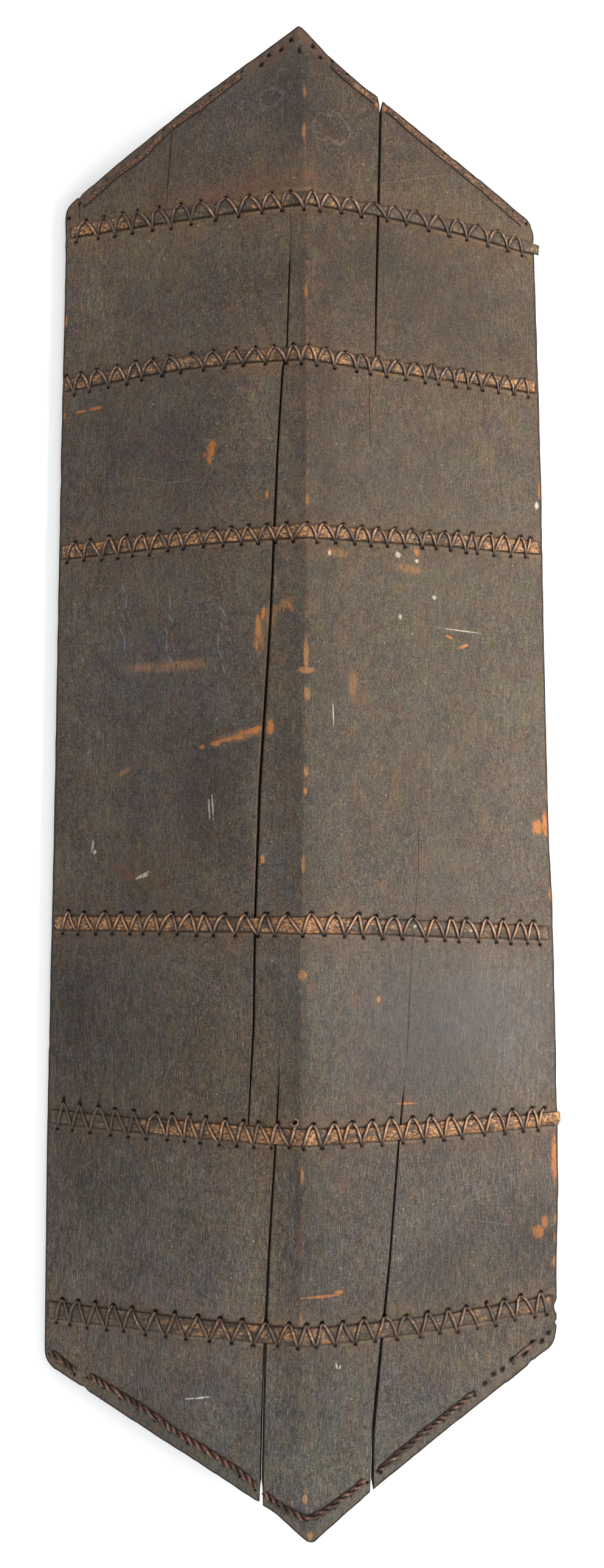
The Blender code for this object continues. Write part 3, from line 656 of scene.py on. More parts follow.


# Clouds over the board: X, Y, half width and half height in mm, and a strength. The shade is in doublings
# of brightness, hue runs from grey blue to brown, moss is a share of green, and calm wood has few marks.
# On the right wing between the fourth and fifth bands the calm wood, the bright shade clouds and the
# grey-blue hue cloud are a painted sheen, and the long faint shade cloud over the whole right wing is
# painted shade.
CLOUDS = {
    "shade": (
        (-4, 300, 3, 200, -0.25), (-6, -330, 5, 90, -0.2), (-6, -210, 5, 60, -0.35),
        (-8, -50, 8, 90, -0.15), (-190, 405, 45, 75, 0.42), (-110, 455, 90, 26, 0.28),
        (110, 455, 90, 20, 0.22), (52, 425, 34, 40, -0.42), (110, 395, 55, 55, -0.25),
        (185, 430, 22, 30, 0.2), (14, 330, 14, 260, -0.22), (-42, 300, 26, 50, 0.42),
        (-40, 200, 26, 60, 0.3), (-150, 285, 60, 40, -0.2), (-90, 255, 22, 26, -0.2),
        (-12, 545, 26, 50, -0.42), (45, 540, 40, 30, -0.12), (-185, 90, 24, 60, 0.18),
        (-40, -65, 9, 60, 0.35), (-78, -38, 26, 36, -0.4), (-140, -92, 34, 26, -0.32),
        (-120, 10, 70, 50, -0.14), (-188, -205, 40, 75, -0.42), (-130, -235, 26, 40, -0.18),
        (-60, -170, 30, 40, 0.12), (160, -190, 46, 60, 0.38), (190, -250, 30, 40, 0.25),
        (-42, -335, 20, 85, 0.36), (-92, -320, 30, 30, 0.2), (-44, -430, 30, 60, 0.34),
        (-178, -345, 22, 26, -0.38), (190, -385, 26, 36, -0.3), (104, -405, 26, 30, -0.38),
        (40, -400, 20, 60, -0.1), (-185, -470, 50, 36, 0.34), (-90, -450, 40, 40, 0.25),
        (145, -490, 30, 26, 0.24), (0, -560, 60, 30, 0.28), (30, 60, 50, 80, -0.16), (172, 5, 40, 60, 0.14),
        (75, 225, 60, 40, -0.14), (120, 0, 110, 700, -0.05), (10, -400, 12, 70, -0.3),
        (0, -340, 16, 60, -0.22), (-14, 20, 12, 30, -0.22), (0, -95, 18, 30, -0.26),
        (-130, -90, 30, 24, -0.2), (14, 310, 12, 70, -0.18), (170, 355, 50, 30, -0.18),
        (-85, 262, 30, 50, -0.18), (-130, 78, 26, 24, -0.2), (-80, -10, 24, 50, -0.22),
        (170, -390, 40, 30, -0.22), (0, 540, 30, 40, -0.1), (12, -520, 14, 50, -0.18),
        (-180, -215, 30, 50, -0.14), (-90, -225, 24, 20, -0.14), (-30, -485, 16, 30, 0.22),
        (-185, -490, 24, 16, 0.18), (-180, -410, 26, 24, 0.16), (-80, -515, 30, 30, 0.14),
        (40, -165, 20, 26, 0.18), (150, -170, 26, 20, 0.12), (100, 228, 24, 20, 0.14),
        (45, 415, 22, 20, -0.16), (100, -30, 26, 20, -0.14), (95, -245, 24, 20, -0.1),
        (-180, 360, 24, 24, 0.12), (-170, -300, 50, 90, -0.08), (150, -395, 30, 30, -0.08),
        (-200, -90, 20, 20, 0.15), (-9, -320, 7, 150, -0.11), (13, 150, 9, 320, -0.12),
        (-110, 420, 60, 30, 0.1), (-130, -90, 24, 20, 0.3), (-30, 290, 20, 40, 0.12),
        (-70, -520, 24, 30, 0.16), (190, -390, 20, 24, -0.14), (150, -410, 24, 20, -0.1),
        (60, -540, 40, 40, 0.05), (100, 340, 60, 60, -0.06), (140, -330, 40, 20, 0.12),
        (-130, 80, 20, 16, 0.14),
    ),
    "hue": (
        (0, 455, 230, 60, 0.45), (110, 330, 110, 110, 0.5), (-190, 420, 40, 70, 0.25),
        (-60, 300, 30, 60, 0.2), (110, 120, 120, 90, 0.35), (100, -20, 110, 80, 0.2),
        (120, -215, 110, 60, -0.55), (-60, -240, 60, 40, 0.25), (-160, -190, 50, 80, -0.35),
        (-120, 40, 90, 90, -0.3), (-130, 280, 70, 50, -0.25), (-30, -350, 20, 110, 0.3),
        (-130, -400, 80, 70, -0.55), (100, -385, 100, 50, -0.4), (0, -540, 160, 60, -0.75),
        (-30, 60, 26, 60, 0.2), (-60, 540, 60, 40, -0.3), (-20, -90, 20, 40, -0.4),
        (-10, -170, 16, 40, -0.4), (-130, 78, 30, 24, -0.45), (-80, 70, 40, 40, -0.25),
        (-185, -490, 30, 20, 0.45), (5, -410, 18, 40, -0.35), (-130, -90, 24, 20, 0.4),
        (-9, -320, 9, 170, -0.2), (-9, 230, 9, 60, -0.15), (110, 420, 40, 30, 0.2), (60, 550, 40, 30, 0.3),
        (-185, 420, 25, 25, -0.2), (-185, 355, 20, 20, 0.2), (120, 400, 110, 120, 0.28),
        (10, 300, 30, 200, 0.25), (-130, 260, 60, 60, 0.1), (110, -400, 60, 40, 0.12),
    ),
    "moss": (
        (110, 120, 110, 260, 0.035), (120, -210, 110, 80, 0.03), (0, -200, 22, 260, 0.035),
        (0, -540, 80, 50, 0.1), (100, -430, 120, 60, 0.03), (-130, -350, 70, 60, 0.02),
        (0, 500, 220, 90, -0.035), (-80, 20, 70, 90, -0.01), (8, 330, 26, 130, -0.045),
        (110, 330, 110, 90, -0.03), (-130, 250, 70, 60, -0.03),
    ),
    "calm_and_sheen": (
        (120, -210, 90, 65, 1.0), (110, 400, 80, 40, 0.4), (60, 240, 60, 40, 0.3),
    ),
}


def clouds(x, y, rows):
    """The sum of bell-shaped clouds at each point."""
    total = np.zeros(x.shape)
    for at_x, at_y, half_width, half_height, strength in rows:
        far = ((x - at_x * MM) / (half_width * MM)) ** 2 + ((y - at_y * MM) / (half_height * MM)) ** 2
        total += strength * np.exp(-far)
    return total


ROUNDING, ROUNDING_UNEVEN, ROUNDING_DROP = 0.0019, 0.0006, 0.0018
SPLIT_ROUNDING, SPLIT_DROP = 0.0008, 0.0011
STRIP_WIDTHS = (0.0070, 0.0100)
# How deep the front is sunk in a hole, along the slanting edges, and in the corners beside the battens
PIT_DEPTH, STRIP_DEPTH, CORNER_DEPTH = 0.0026, 0.0004, 0.00025
LEAST_FRONT = 0.0010
BACK_EDGE_LIFT = 0.0015
ON_EDGE = 1e-7
FAR_INSIDE = 0.05
# What the plank's values are behind it, where that isn't 0
BEHIND = {"inset": FAR_INSIDE, "beside_split": FAR_INSIDE, "inner": 1.0}


def plank_mesh():
    """Points, faces and values of the plank. The front is a fine grid whose rows and columns follow the
    edges, splits and bands, the back is a coarse one of some of the same lines, and strips of triangles
    join their borders."""
    column_span, column_share, column_kept = shares_of(LANE_COUNTS, True)
    row_span, row_share, row_kept = shares_of(ROW_COUNTS, False)
    rows, columns = len(row_span), len(column_span)
    x = np.zeros((rows, columns))
    for _ in range(SETTLING_ROUNDS):
        y = rows_at(x, row_span, row_share)
        x = columns_at(y, column_span, column_share)
    slant_inset = SLANT * np.minimum(along(TOP_EDGE, x) - y, y - along(BOTTOM_EDGE, x))
    inset = np.minimum(np.minimum(x - along(LEFT_RIM, y), along(RIGHT_RIM, y) - x), slant_inset)
    inset = np.maximum(inset, 0)
    coarse_rows, coarse_columns = np.flatnonzero(row_kept), np.flatnonzero(column_kept)
    kept = plank_cells(column_span, y, coarse_rows)
    x, y = chip_edges(*round_corners(x, y), inset)
    front = {
        "inset": np.minimum(inset, FAR_INSIDE),
        "beside_split": np.minimum(split_inset(x, y), FAR_INSIDE),
        "pit": pits(x, y),
        "strip": 1 - smooth_step(slant_inset, *STRIP_WIDTHS),
        "lip": split_lip(x, y),
        "inner": np.zeros(x.shape),
    }
    front.update(zip(("dirt_and_shade", "warm", "dust"), band_shade(x, y)))
    front.update((name, clouds(x, y, rows_of)) for name, rows_of in CLOUDS.items())
    rounding = ROUNDING + ROUNDING_UNEVEN * hills(x, y, 0.030, 0.045, 23)
    z = front_height(x, y) - round_off(inset, rounding, ROUNDING_DROP)
    z -= round_off(front["beside_split"], SPLIT_ROUNDING, SPLIT_DROP)
    z -= PIT_DEPTH * front["pit"] + STRIP_DEPTH * front["strip"] + CORNER_DEPTH * front["dirt_and_shade"]
    z = np.maximum(z, LEAST_FRONT)
    coarse = np.ix_(coarse_rows, coarse_columns)
    back_x, back_y = x[coarse], y[coarse]
    narrow_splits(back_x, inset[coarse], column_span[coarse_columns])
    back_z = np.maximum(wing_height(back_x, back_y) - THICKNESS, 0.0)
    back_z = back_z + BACK_EDGE_LIFT * (inset[coarse] < ON_EDGE)
    points = np.concatenate([np.stack(place, -1).reshape(-1, 3)
                             for place in ((x, y, z), (back_x, back_y, back_z))])
    values = {name: np.concatenate([value.ravel(), np.full(back_x.size, BEHIND.get(name, 0.0))])
              for name, value in front.items()}
    values["off_ridge"] = points[:, 0] - ridge_x(points[:, 1])
    return points, plank_faces(kept, coarse_rows, coarse_columns, rows, columns), values


# How far inside the edge a split narrows towards the back, from none of the way to all of it
NARROWING = {2: (0.007, 0.012), 4: (0.007, 0.012), 7: (0.001, 0.003)}
NARROWED = 0.90


def narrow_splits(back_x, inset, spans):
    """Brings the sides of each split nearly together at the back, except in the last mm before an edge."""
    for lane, inside in NARROWING.items():
        left = int(np.argmax(spans == lane))
        middle = (back_x[:, left] + back_x[:, left + 1]) / 2
        share = 1 - NARROWED * smooth_step(inset[:, left], *inside)
        for column in (left, left + 1):
            back_x[:, column] = middle + (back_x[:, column] - middle) * share


def plank_faces(kept, coarse_rows, coarse_columns, rows, columns):
    """Front quads, back quads turned over, and the walls: each fine border edge goes to the coarse point at
    or before it, and each coarse border edge to the fine point at its far end."""
    row, column = np.nonzero(kept)
    here, over = row * columns + column, (row + 1) * columns + column
    front = np.stack([here, here + 1, over + 1, over], -1)
    behind = rows * columns
    wide = len(coarse_columns)
    kept_back = kept[np.ix_(coarse_rows[:-1], coarse_columns[:-1])]
    row, column = np.nonzero(kept_back)
    here, over = row * wide + column, (row + 1) * wide + column
    back = behind + np.stack([here, over, over + 1, here + 1], -1)
    fine = border_walks(kept)
    start, end = fine[:, :2], fine[:, 2:]
    nearest = np.minimum(start, end)
    owner_row = np.searchsorted(coarse_rows, nearest[:, 0], side="right") - 1
    owner_column = np.searchsorted(coarse_columns, nearest[:, 1], side="right") - 1
    owner = behind + owner_row * wide + owner_column
    walls = [np.stack([start @ (columns, 1), end @ (columns, 1), owner], -1)]
    coarse = border_walks(kept_back)
    start, end = coarse[:, :2], coarse[:, 2:]
    far = np.maximum(start, end)
    far = coarse_rows[far[:, 0]] * columns + coarse_columns[far[:, 1]]
    walls.append(np.stack([behind + end @ (wide, 1), behind + start @ (wide, 1), far], -1))
    return front.tolist() + back.tolist() + np.concatenate(walls).tolist()


# The grip's inner and outer line, as Y and Z from one foot to its middle, and its half widths there
GRIP_INNER = (
    (-0.052, 0.08), (-0.052, 0.06), (-0.0515, 0.046), (-0.0485, 0.0392), (-0.042, 0.0362), (-0.02, 0.0353),
    (0.0, 0.035),
)
GRIP_OUTER = (
    (-0.0975, 0.08), (-0.0868, 0.06), (-0.0775, 0.0425), (-0.0684, 0.0255), (-0.056, 0.0158),
    (-0.026, 0.0143), (0.0, 0.014),
)
GRIP_WIDTHS = (0.0176, 0.0160, 0.0152, 0.0149, 0.0147, 0.0142, 0.0138)
GRIP_STEPS = 12
GRIP_BLUR = 6
GRIP_CORNER = 2.6
GRIP_UNEVEN = 0.00035
GRIP_RING = 36
GRIP_VALUES = {**BEHIND, "off_ridge": 0.01}


def smoothed_stations(values):
    """Values at the grip's stations, refined by straight lines and averaged by a raised cosine. Before the
    foot and past the middle they are carried on turned about the foot and mirrored."""
    last = len(values) - 1
    plain = np.interp(np.linspace(0, last, GRIP_STEPS * last + 1), range(last + 1), values)
    kernel = np.hanning(2 * GRIP_BLUR + 1)
    before = 2 * plain[0] - plain[GRIP_BLUR:0:-1]
    padded = np.concatenate([before, plain, plain[-2:-GRIP_BLUR - 2:-1]])
    return np.convolve(padded, kernel / kernel.sum(), "valid")


def grip_mesh(start):
    """The grip: superellipses between an inner and an outer line, which run from one foot along the bar to
    the other. Across the shield each is as wide as the grip, and its corners are rounded by an exponent of
    2.6."""
    lines = [smoothed_stations(values) for values in (*zip(*GRIP_INNER), *zip(*GRIP_OUTER), GRIP_WIDTHS)]
    lines[0][-1] = lines[2][-1] = 0.0
    inner_y, inner_z, outer_y, outer_z, width = (
        np.concatenate([line, sign * line[-2::-1]])[:, None] for line, sign in zip(lines, (-1, 1, -1, 1, 1)))
    level, across = (np.sign(wave) * np.abs(wave) ** (2 / GRIP_CORNER)
                     for wave in (np.cos(around(GRIP_RING)), np.sin(around(GRIP_RING))))
    y = (inner_y + outer_y) / 2 + (inner_y - outer_y) / 2 * level
    z = (inner_z + outer_z) / 2 + (inner_z - outer_z) / 2 * level
    uneven = GRIP_UNEVEN * hills(y, z + 0.02 * across, 0.012, 0.012, 27)
    x = float(ridge_x(0.0)) + (width + uneven) * across
    return np.stack([x, y, z], -1).reshape(-1, 3), tube_faces(len(width), GRIP_RING, start)


def plank(finish):
    """The plank and its grip as one piece."""
    points, faces, values = plank_mesh()
    grip_points, grip_faces = grip_mesh(len(points))
    values = {name: np.concatenate([value, np.full(len(grip_points), GRIP_VALUES.get(name, 0.0))])
              for name, value in values.items()}
    shaded("plank", np.concatenate([points, grip_points]), faces + grip_faces, "board", finish,
           values, 48)


# ---------------------------------------------------------------- battens and lashings

GAP = 0.0003
BATTEN_STATIONS, BATTEN_OVER, BATTEN_UNDER = 460, 17, 5
UNDER_WIDTH = 0.8
END_RAGGED = 0.0012
END_THICKNESS, END_TAPER = 0.62, 0.0035
STRAND_SHADOW = (0.0016, 0.0027)
DOME_SIDES, DOME_POWERS = 0.14, (2.6, 0.60)
# A batten's unevenness: the share of its width, and heights and steps of its two kinds of fibres
WIDTH_UNEVEN = 0.05
FINE_FIBRES, COARSE_FIBRES = (0.00014, 0.045, 0.0009), (0.00022, 0.018, 0.0035)


def batten_profile(across):
    """Height of a batten's top over its width from -1 to 1, as a share: a low dome with steep sides."""
    inner, outer = DOME_POWERS
    return DOME_SIDES + (1 - DOME_SIDES) * (1 - np.abs(np.clip(across, -1, 1)) ** inner) ** outer


def batten(number, finish):
    """A strip with fibres of 0.1 mm: a domed section over a flat underside, carried along its band."""
    left, right = BATTEN_ENDS[number]
    over = np.cos(np.linspace(0, math.pi, BATTEN_OVER))
    across = np.concatenate([over, np.linspace(-UNDER_WIDTH, UNDER_WIDTH, BATTEN_UNDER)])[None, :]
    raised = np.concatenate([batten_profile(over), np.zeros(BATTEN_UNDER)])[None, :]
    share = np.linspace(0, 1, BATTEN_STATIONS)[:, None]
    start, end = (place + way * END_RAGGED * (waves(across, 0.35, seed + number, number) - 1)
                  for place, way, seed in ((left, -1, 50), (right, 1, 60)))
    x = start + (end - start) * share
    low, high = band_edges(x, number)
    half = (high - low) / 2 * (1 + WIDTH_UNEVEN * waves(x, 0.022, 70 + number))
    y = (low + high) / 2 + 0.0003 * waves(x, 0.045, 80 + number) + across * half
    fibres = sum(height * hills(x, across * half, *steps, seed + number)
                 for (height, *steps), seed in ((FINE_FIBRES, 90), (COARSE_FIBRES, 100)))
    from_end = np.minimum(share, 1 - share) * (right - left)
    taper = END_THICKNESS + (1 - END_THICKNESS) * smooth_step(from_end, 0, END_TAPER)
    z = front_height(x, y) + GAP + (BATTEN_THICKNESS * raised * taper + fibres * (raised > 0))
    legs = strand_legs(number)[0].reshape(-1, 3)
    nearest = np.hypot(x[..., None] - legs[:, 0], y[..., None] - legs[:, 1]).min(-1)
    values = {
        "across": np.broadcast_to(np.where(raised > 0, np.abs(across), 1.0), x.shape),
        "beside_strand": 1 - smooth_step(nearest, *STRAND_SHADOW),
        "wear": at_knots(x, CANE_WEAR[number]),
    }
    shaded(f"batten_{number}_cane", np.stack([x, y, z], -1).reshape(-1, 3),
           tube_faces(BATTEN_STATIONS, BATTEN_OVER + BATTEN_UNDER), f"batten_{number}", finish,
           values, 60)


LEG_POINTS, BACK_POINTS = 23, 9
STRAND_RING, BINDING_RING = 8, 10
RISING_POWER = 1.9
FALLING_POWERS = (1.15, 0.60)  # left of the ridge, and how much more there is right of it
POWER_SCATTER, BOW_SCATTER = 0.30, 0.00065
STRAND_CLEAR = 0.00066
BOARD_CLEAR = 0.0005
HOLE_DEPTH = 0.0020
BACK_SUNK, BACK_CLEAR, FLOOR_CLEAR = 0.0016, 0.0004, 0.0030


def strand_legs(number):
    """Middle lines of a lashing's legs, and the share of each leg at their points. In plan a leg leaves its
    lower hole straight and comes level at its upper hole, the rise being 1 less a power of the share still
    to go, so that two legs make an arch. In height it comes up out of the board, goes over the batten's
    dome and down again."""
    hole_x, hole_y, upper = stitch_holes(number)
    held = np.diff(upper) != 0
    middle = (hole_x[:-1] + hole_x[1:]) / 2
    for band, low, high in BARE_STRETCHES:
        if band == number:
            held &= (middle < low) | (middle > high)
    rising = np.diff(upper)[held] > 0
    first = np.flatnonzero(held)
    foot, top = np.where(rising, first, first + 1), np.where(rising, first + 1, first)
    share = np.linspace(0, 1, LEG_POINTS)[None, :]
    draw = np.random.default_rng(120 + number)
    right = smooth_step(hole_x[top], -0.03, 0.03)
    power = np.where(rising, RISING_POWER, FALLING_POWERS[0] + FALLING_POWERS[1] * right)
    power = power + draw.uniform(-POWER_SCATTER, POWER_SCATTER, len(first))
    rise = 1 - (1 - share) ** power[:, None]
    bow = draw.normal(0, BOW_SCATTER, (len(first), 1)) * np.sin(math.pi * share)
    x = hole_x[foot][:, None] + (hole_x[top] - hole_x[foot])[:, None] * share + bow
    y = hole_y[foot][:, None] + (hole_y[top] - hole_y[foot])[:, None] * rise
    low, high = band_edges(x, number)
    across = np.abs(2 * y - low - high) / (high - low)
    over_batten = GAP + BATTEN_THICKNESS * batten_profile(across) + STRAND_CLEAR
    down = smooth_step(np.maximum(low - y, y - high), -0.0008, 0.0022)
    at_hole = 1 - smooth_step(np.minimum(share, 1 - share), 0.0, 0.10)
    lift = over_batten * (1 - down) + BOARD_CLEAR * down - HOLE_DEPTH * at_hole
    padded = np.concatenate([lift[:, :1], lift, lift[:, -1:]], 1)
    lift = np.maximum(0.25 * padded[:, :-2] + 0.5 * padded[:, 1:-1] + 0.25 * padded[:, 2:], lift - 0.0003)
    return np.stack([x, y, front_height(x, y) + lift], -1), np.broadcast_to(share, x.shape)


def back_stitches(number):
    """Short runs behind the board, from a hole to the next one of its row, where the board stands clear of
    the floor, and the share of each run at its points."""
    hole_x, hole_y, _ = stitch_holes(number)
    first = np.array([k for k in range(len(hole_x) - 2) if k % 4 < 2])
    share = np.linspace(0, 1, BACK_POINTS)[None, :]
    x, y = (hole[first][:, None] + (hole[first + 2] - hole[first])[:, None] * share
            for hole in (hole_x, hole_y))
    sunk = BACK_SUNK * (1 - np.sin(math.pi * share) ** 0.35)
    z = wing_height(x, y) - THICKNESS - BACK_CLEAR + sunk
    clear = z.min(axis=1) > FLOOR_CLEAR
    return np.stack([x, y, z], -1)[clear], np.broadcast_to(share, x.shape)[clear]


# How wide the strands are drawn, and the share that is left of a width at the ends
STRAND_WIDTHS = (0.88, 1.10)
END_WIDTH = 0.58
BACK_VALUES = {"tone": 0.3, "along": 0.5, "wear": 0.3}
TAIL_VALUES = {"tone": 0.6, "along": 0.6, "wear": 0.6}
TAIL_BATTEN = 5
TAIL_MIDDLE = (-0.0112, -0.2815)
TAIL_TURNS = (math.radians(200), math.radians(450))
TAIL_POINTS, TAIL_RADIUS = 26, 0.0030
TAIL_HALF_WIDTH, TAIL_HALF_HEIGHT = 0.00095, 0.00045


def loose_tail():
    """The broken strand's end: an arc of 250 degrees, 3 mm in radius, which rises 2 mm as it opens."""
    turn = np.linspace(*TAIL_TURNS, TAIL_POINTS)[None, :]
    share = np.linspace(0, 1, TAIL_POINTS)[None, :]
    x, y = (middle + TAIL_RADIUS * wave for middle, wave in zip(TAIL_MIDDLE, (np.cos(turn), np.sin(turn))))
    path = np.stack([x, y, front_height(x, y) + 0.0012 + 0.0020 * share], -1)
    wide, high = TAIL_HALF_WIDTH * (1 - 0.4 * share), TAIL_HALF_HEIGHT * np.ones(share.shape)
    return tubes(path, *surface_sides(path), wide, high, STRAND_RING)


def lashing(number, finish):
    """A zigzag of flat strands over a batten, the stitches behind it and, on the fifth, a loose tail."""
    path, share = strand_legs(number)
    draw = np.random.default_rng(140 + number)
    wide = draw.uniform(*STRAND_WIDTHS, (len(path), 1))
    narrowing = END_WIDTH + (1 - END_WIDTH) * np.sin(math.pi * share) ** 0.6
    points, faces = tubes(path, *surface_sides(path), STRAND_HALF_WIDTH * wide * narrowing,
                          STRAND_HALF_HEIGHT * (0.85 + 0.15 * narrowing), STRAND_RING)
    values = {
        "tone": np.repeat(draw.uniform(0, 1, len(path)), path.shape[1] * STRAND_RING),
        "along": np.repeat(share.reshape(-1), STRAND_RING),
        "wear": np.repeat(at_knots(path[..., 0], STRAND_WEAR[number]).reshape(-1), STRAND_RING),
    }
    path, share = back_stitches(number)
    sizes = (half * np.ones(share.shape) for half in (STRAND_HALF_WIDTH, STRAND_HALF_HEIGHT))
    more = [(tubes(path, *surface_sides(path), *sizes, STRAND_RING), BACK_VALUES)]
    if number == TAIL_BATTEN:
        more.append((loose_tail(), TAIL_VALUES))
    for (added, added_faces), fill in more:
        faces += [[len(points) + k for k in face] for face in added_faces]
        points = np.concatenate([points, added])
        values = {name: np.concatenate([value, np.full(len(added), fill[name])])
                  for name, value in values.items()}
    values["across"] = np.tile(np.abs(np.cos(around(STRAND_RING))), len(points) // STRAND_RING)
    shaded(f"lashing_{number}_strands", points, faces, f"lashing_{number}", finish,
           values, 70)


# The bindings: the helices' swing and lift, the place and half sizes of the dark strand that paints the
# shadow line along their inner side, and the ends' dip
SWING, END_SWING = 0.00165, 0.35
LIFT, LIFT_SWING = 0.0007, 0.00100
SHADOW_LINE_OFF, SHADOW_LINE_GAP, SHADOW_LINE_LIFT = 0.0021, 0.00035, 0.0001
SHADOW_LINE_HALF_WIDTH, SHADOW_LINE_HALF_HEIGHT = 0.00055, 0.00045
PRESSED_LIFT, PRESSED_HALF_HEIGHT = 0.0002, 0.00055
END_LENGTH, END_DIP = 0.003, 0.0012
BINDING_STEP = 0.0009


def binding_strands(name, run, seed):
    """Rows of a binding's parts, each with its swing towards the board's middle, lift, half width, half
    height and crest along the run: one pressed strip or two helices half a turn apart, and a thin dark
    strand beside them that is a painted shadow line. A helix's crest rises and falls with its lift, for
    painted highlight and shade."""
    ends = smooth_step(np.minimum(run, run[-1] - run), 0, END_LENGTH)
    wander = 0.0004 * waves(run, 0.011, seed + 40)
    flat = FLAT_BINDINGS.get(name)
    rows = []
    if flat:
        wide = flat * (0.72 + 0.28 * ends) * (1 + 0.16 * waves(run, 0.009, seed + 60))
        crest = 0.50 + 0.42 * waves(run, 0.012, seed + 70)
        rows.append((wander, PRESSED_LIFT * ends, wide, PRESSED_HALF_HEIGHT, crest))
    for strand in () if flat else (0, 1):
        phase = 2 * math.pi * run / BINDING_PITCH + 1.5 * waves(run, 0.017, seed) + math.pi * strand
        swing = SWING * np.cos(phase) * (END_SWING + (1 - END_SWING) * ends) + wander
        lift = (LIFT + LIFT_SWING * np.sin(phase)) * ends
        thick = BINDING_STRAND * (1 + 0.22 * waves(run, 0.008, seed + 20, strand))
        rows.append((swing, lift, thick, 0.70 * thick, 0.5 + 0.5 * np.sin(phase)))
    # A thin strand with a crest of 0, so near black, stands in for the shadow along the strands' inner side.
    shadow_line = (flat or SHADOW_LINE_OFF) + SHADOW_LINE_GAP + 1.6 * wander
    rows.append((shadow_line, SHADOW_LINE_LIFT, SHADOW_LINE_HALF_WIDTH, SHADOW_LINE_HALF_HEIGHT, 0.0))
    return (np.array([np.broadcast_to(part, run.shape) for part in parts]) for parts in zip(*rows)), ends


def edge_binding(name, finish):
    """Two strands along a slanting edge, and a thin dark strand that wanders along their inner side as a
    painted shadow line. The strands are two helices half a turn apart or, where they have been pressed flat,
    one strip."""
    across, up_edge, run = binding_line(BINDINGS[name], BINDING_STEP)
    away = unit(np.stack([np.gradient(across), np.gradient(up_edge)], -1))
    away = away * (-np.sign(up_edge.mean()) * np.sign(away[:, :1]))
    parts, ends = binding_strands(name, run, 200 + sorted(BINDINGS).index(name))
    swings, lifts, widths, heights, crests = parts
    x, y = across - away[:, 1] * swings, up_edge + away[:, 0] * swings
    path = np.stack([x, y, front_height(x, y) + lifts - END_DIP * (1 - ends)], -1)
    points, faces = tubes(path, *surface_sides(path), widths, heights, BINDING_RING)
    pressed = name in FLAT_BINDINGS
    # Crests are scaled down on each strand's sides, away from its top, so that the finish paints the sides
    # as shade.
    facing = 1 - np.abs(np.cos(around(BINDING_RING)))
    crest = crests[..., None] * (0.30 + 0.70 * facing ** (0.25 if pressed else 1.0))
    shaded(f"{name}_twist", points, faces, name, finish,
           {"crest": crest, "pressed": np.full(crest.size, float(pressed))}, 70)


# ---------------------------------------------------------------- finishes

class Value:
    """A number or colour that a finish's nodes work out. Sums, differences and products make Math nodes."""

    def __init__(self, finish, socket):
        self.finish = finish
        self.socket = socket

    def __add__(self, other):
        return self.finish.math("ADD", self, other)

    def __radd__(self, other):
        return self.finish.math("ADD", other, self)

    def __sub__(self, other):
        return self.finish.math("SUBTRACT", self, other)

    def __rsub__(self, other):
        return self.finish.math("SUBTRACT", other, self)

    def __mul__(self, other):
        return self.finish.math("MULTIPLY", self, other)

    def size(self):
        return self.finish.math("ABSOLUTE", self)

    def most(self, other):
        return self.finish.math("MAXIMUM", self, other)

    def step(self, low, high, start=0.0, end=1.0):
        """A smooth step from start to end as the value goes from low to high."""
        made = self.finish.node("MapRange", (self, low, high, start, end), interpolation_type="SMOOTHSTEP")
        return Value(self.finish, made.outputs[0])


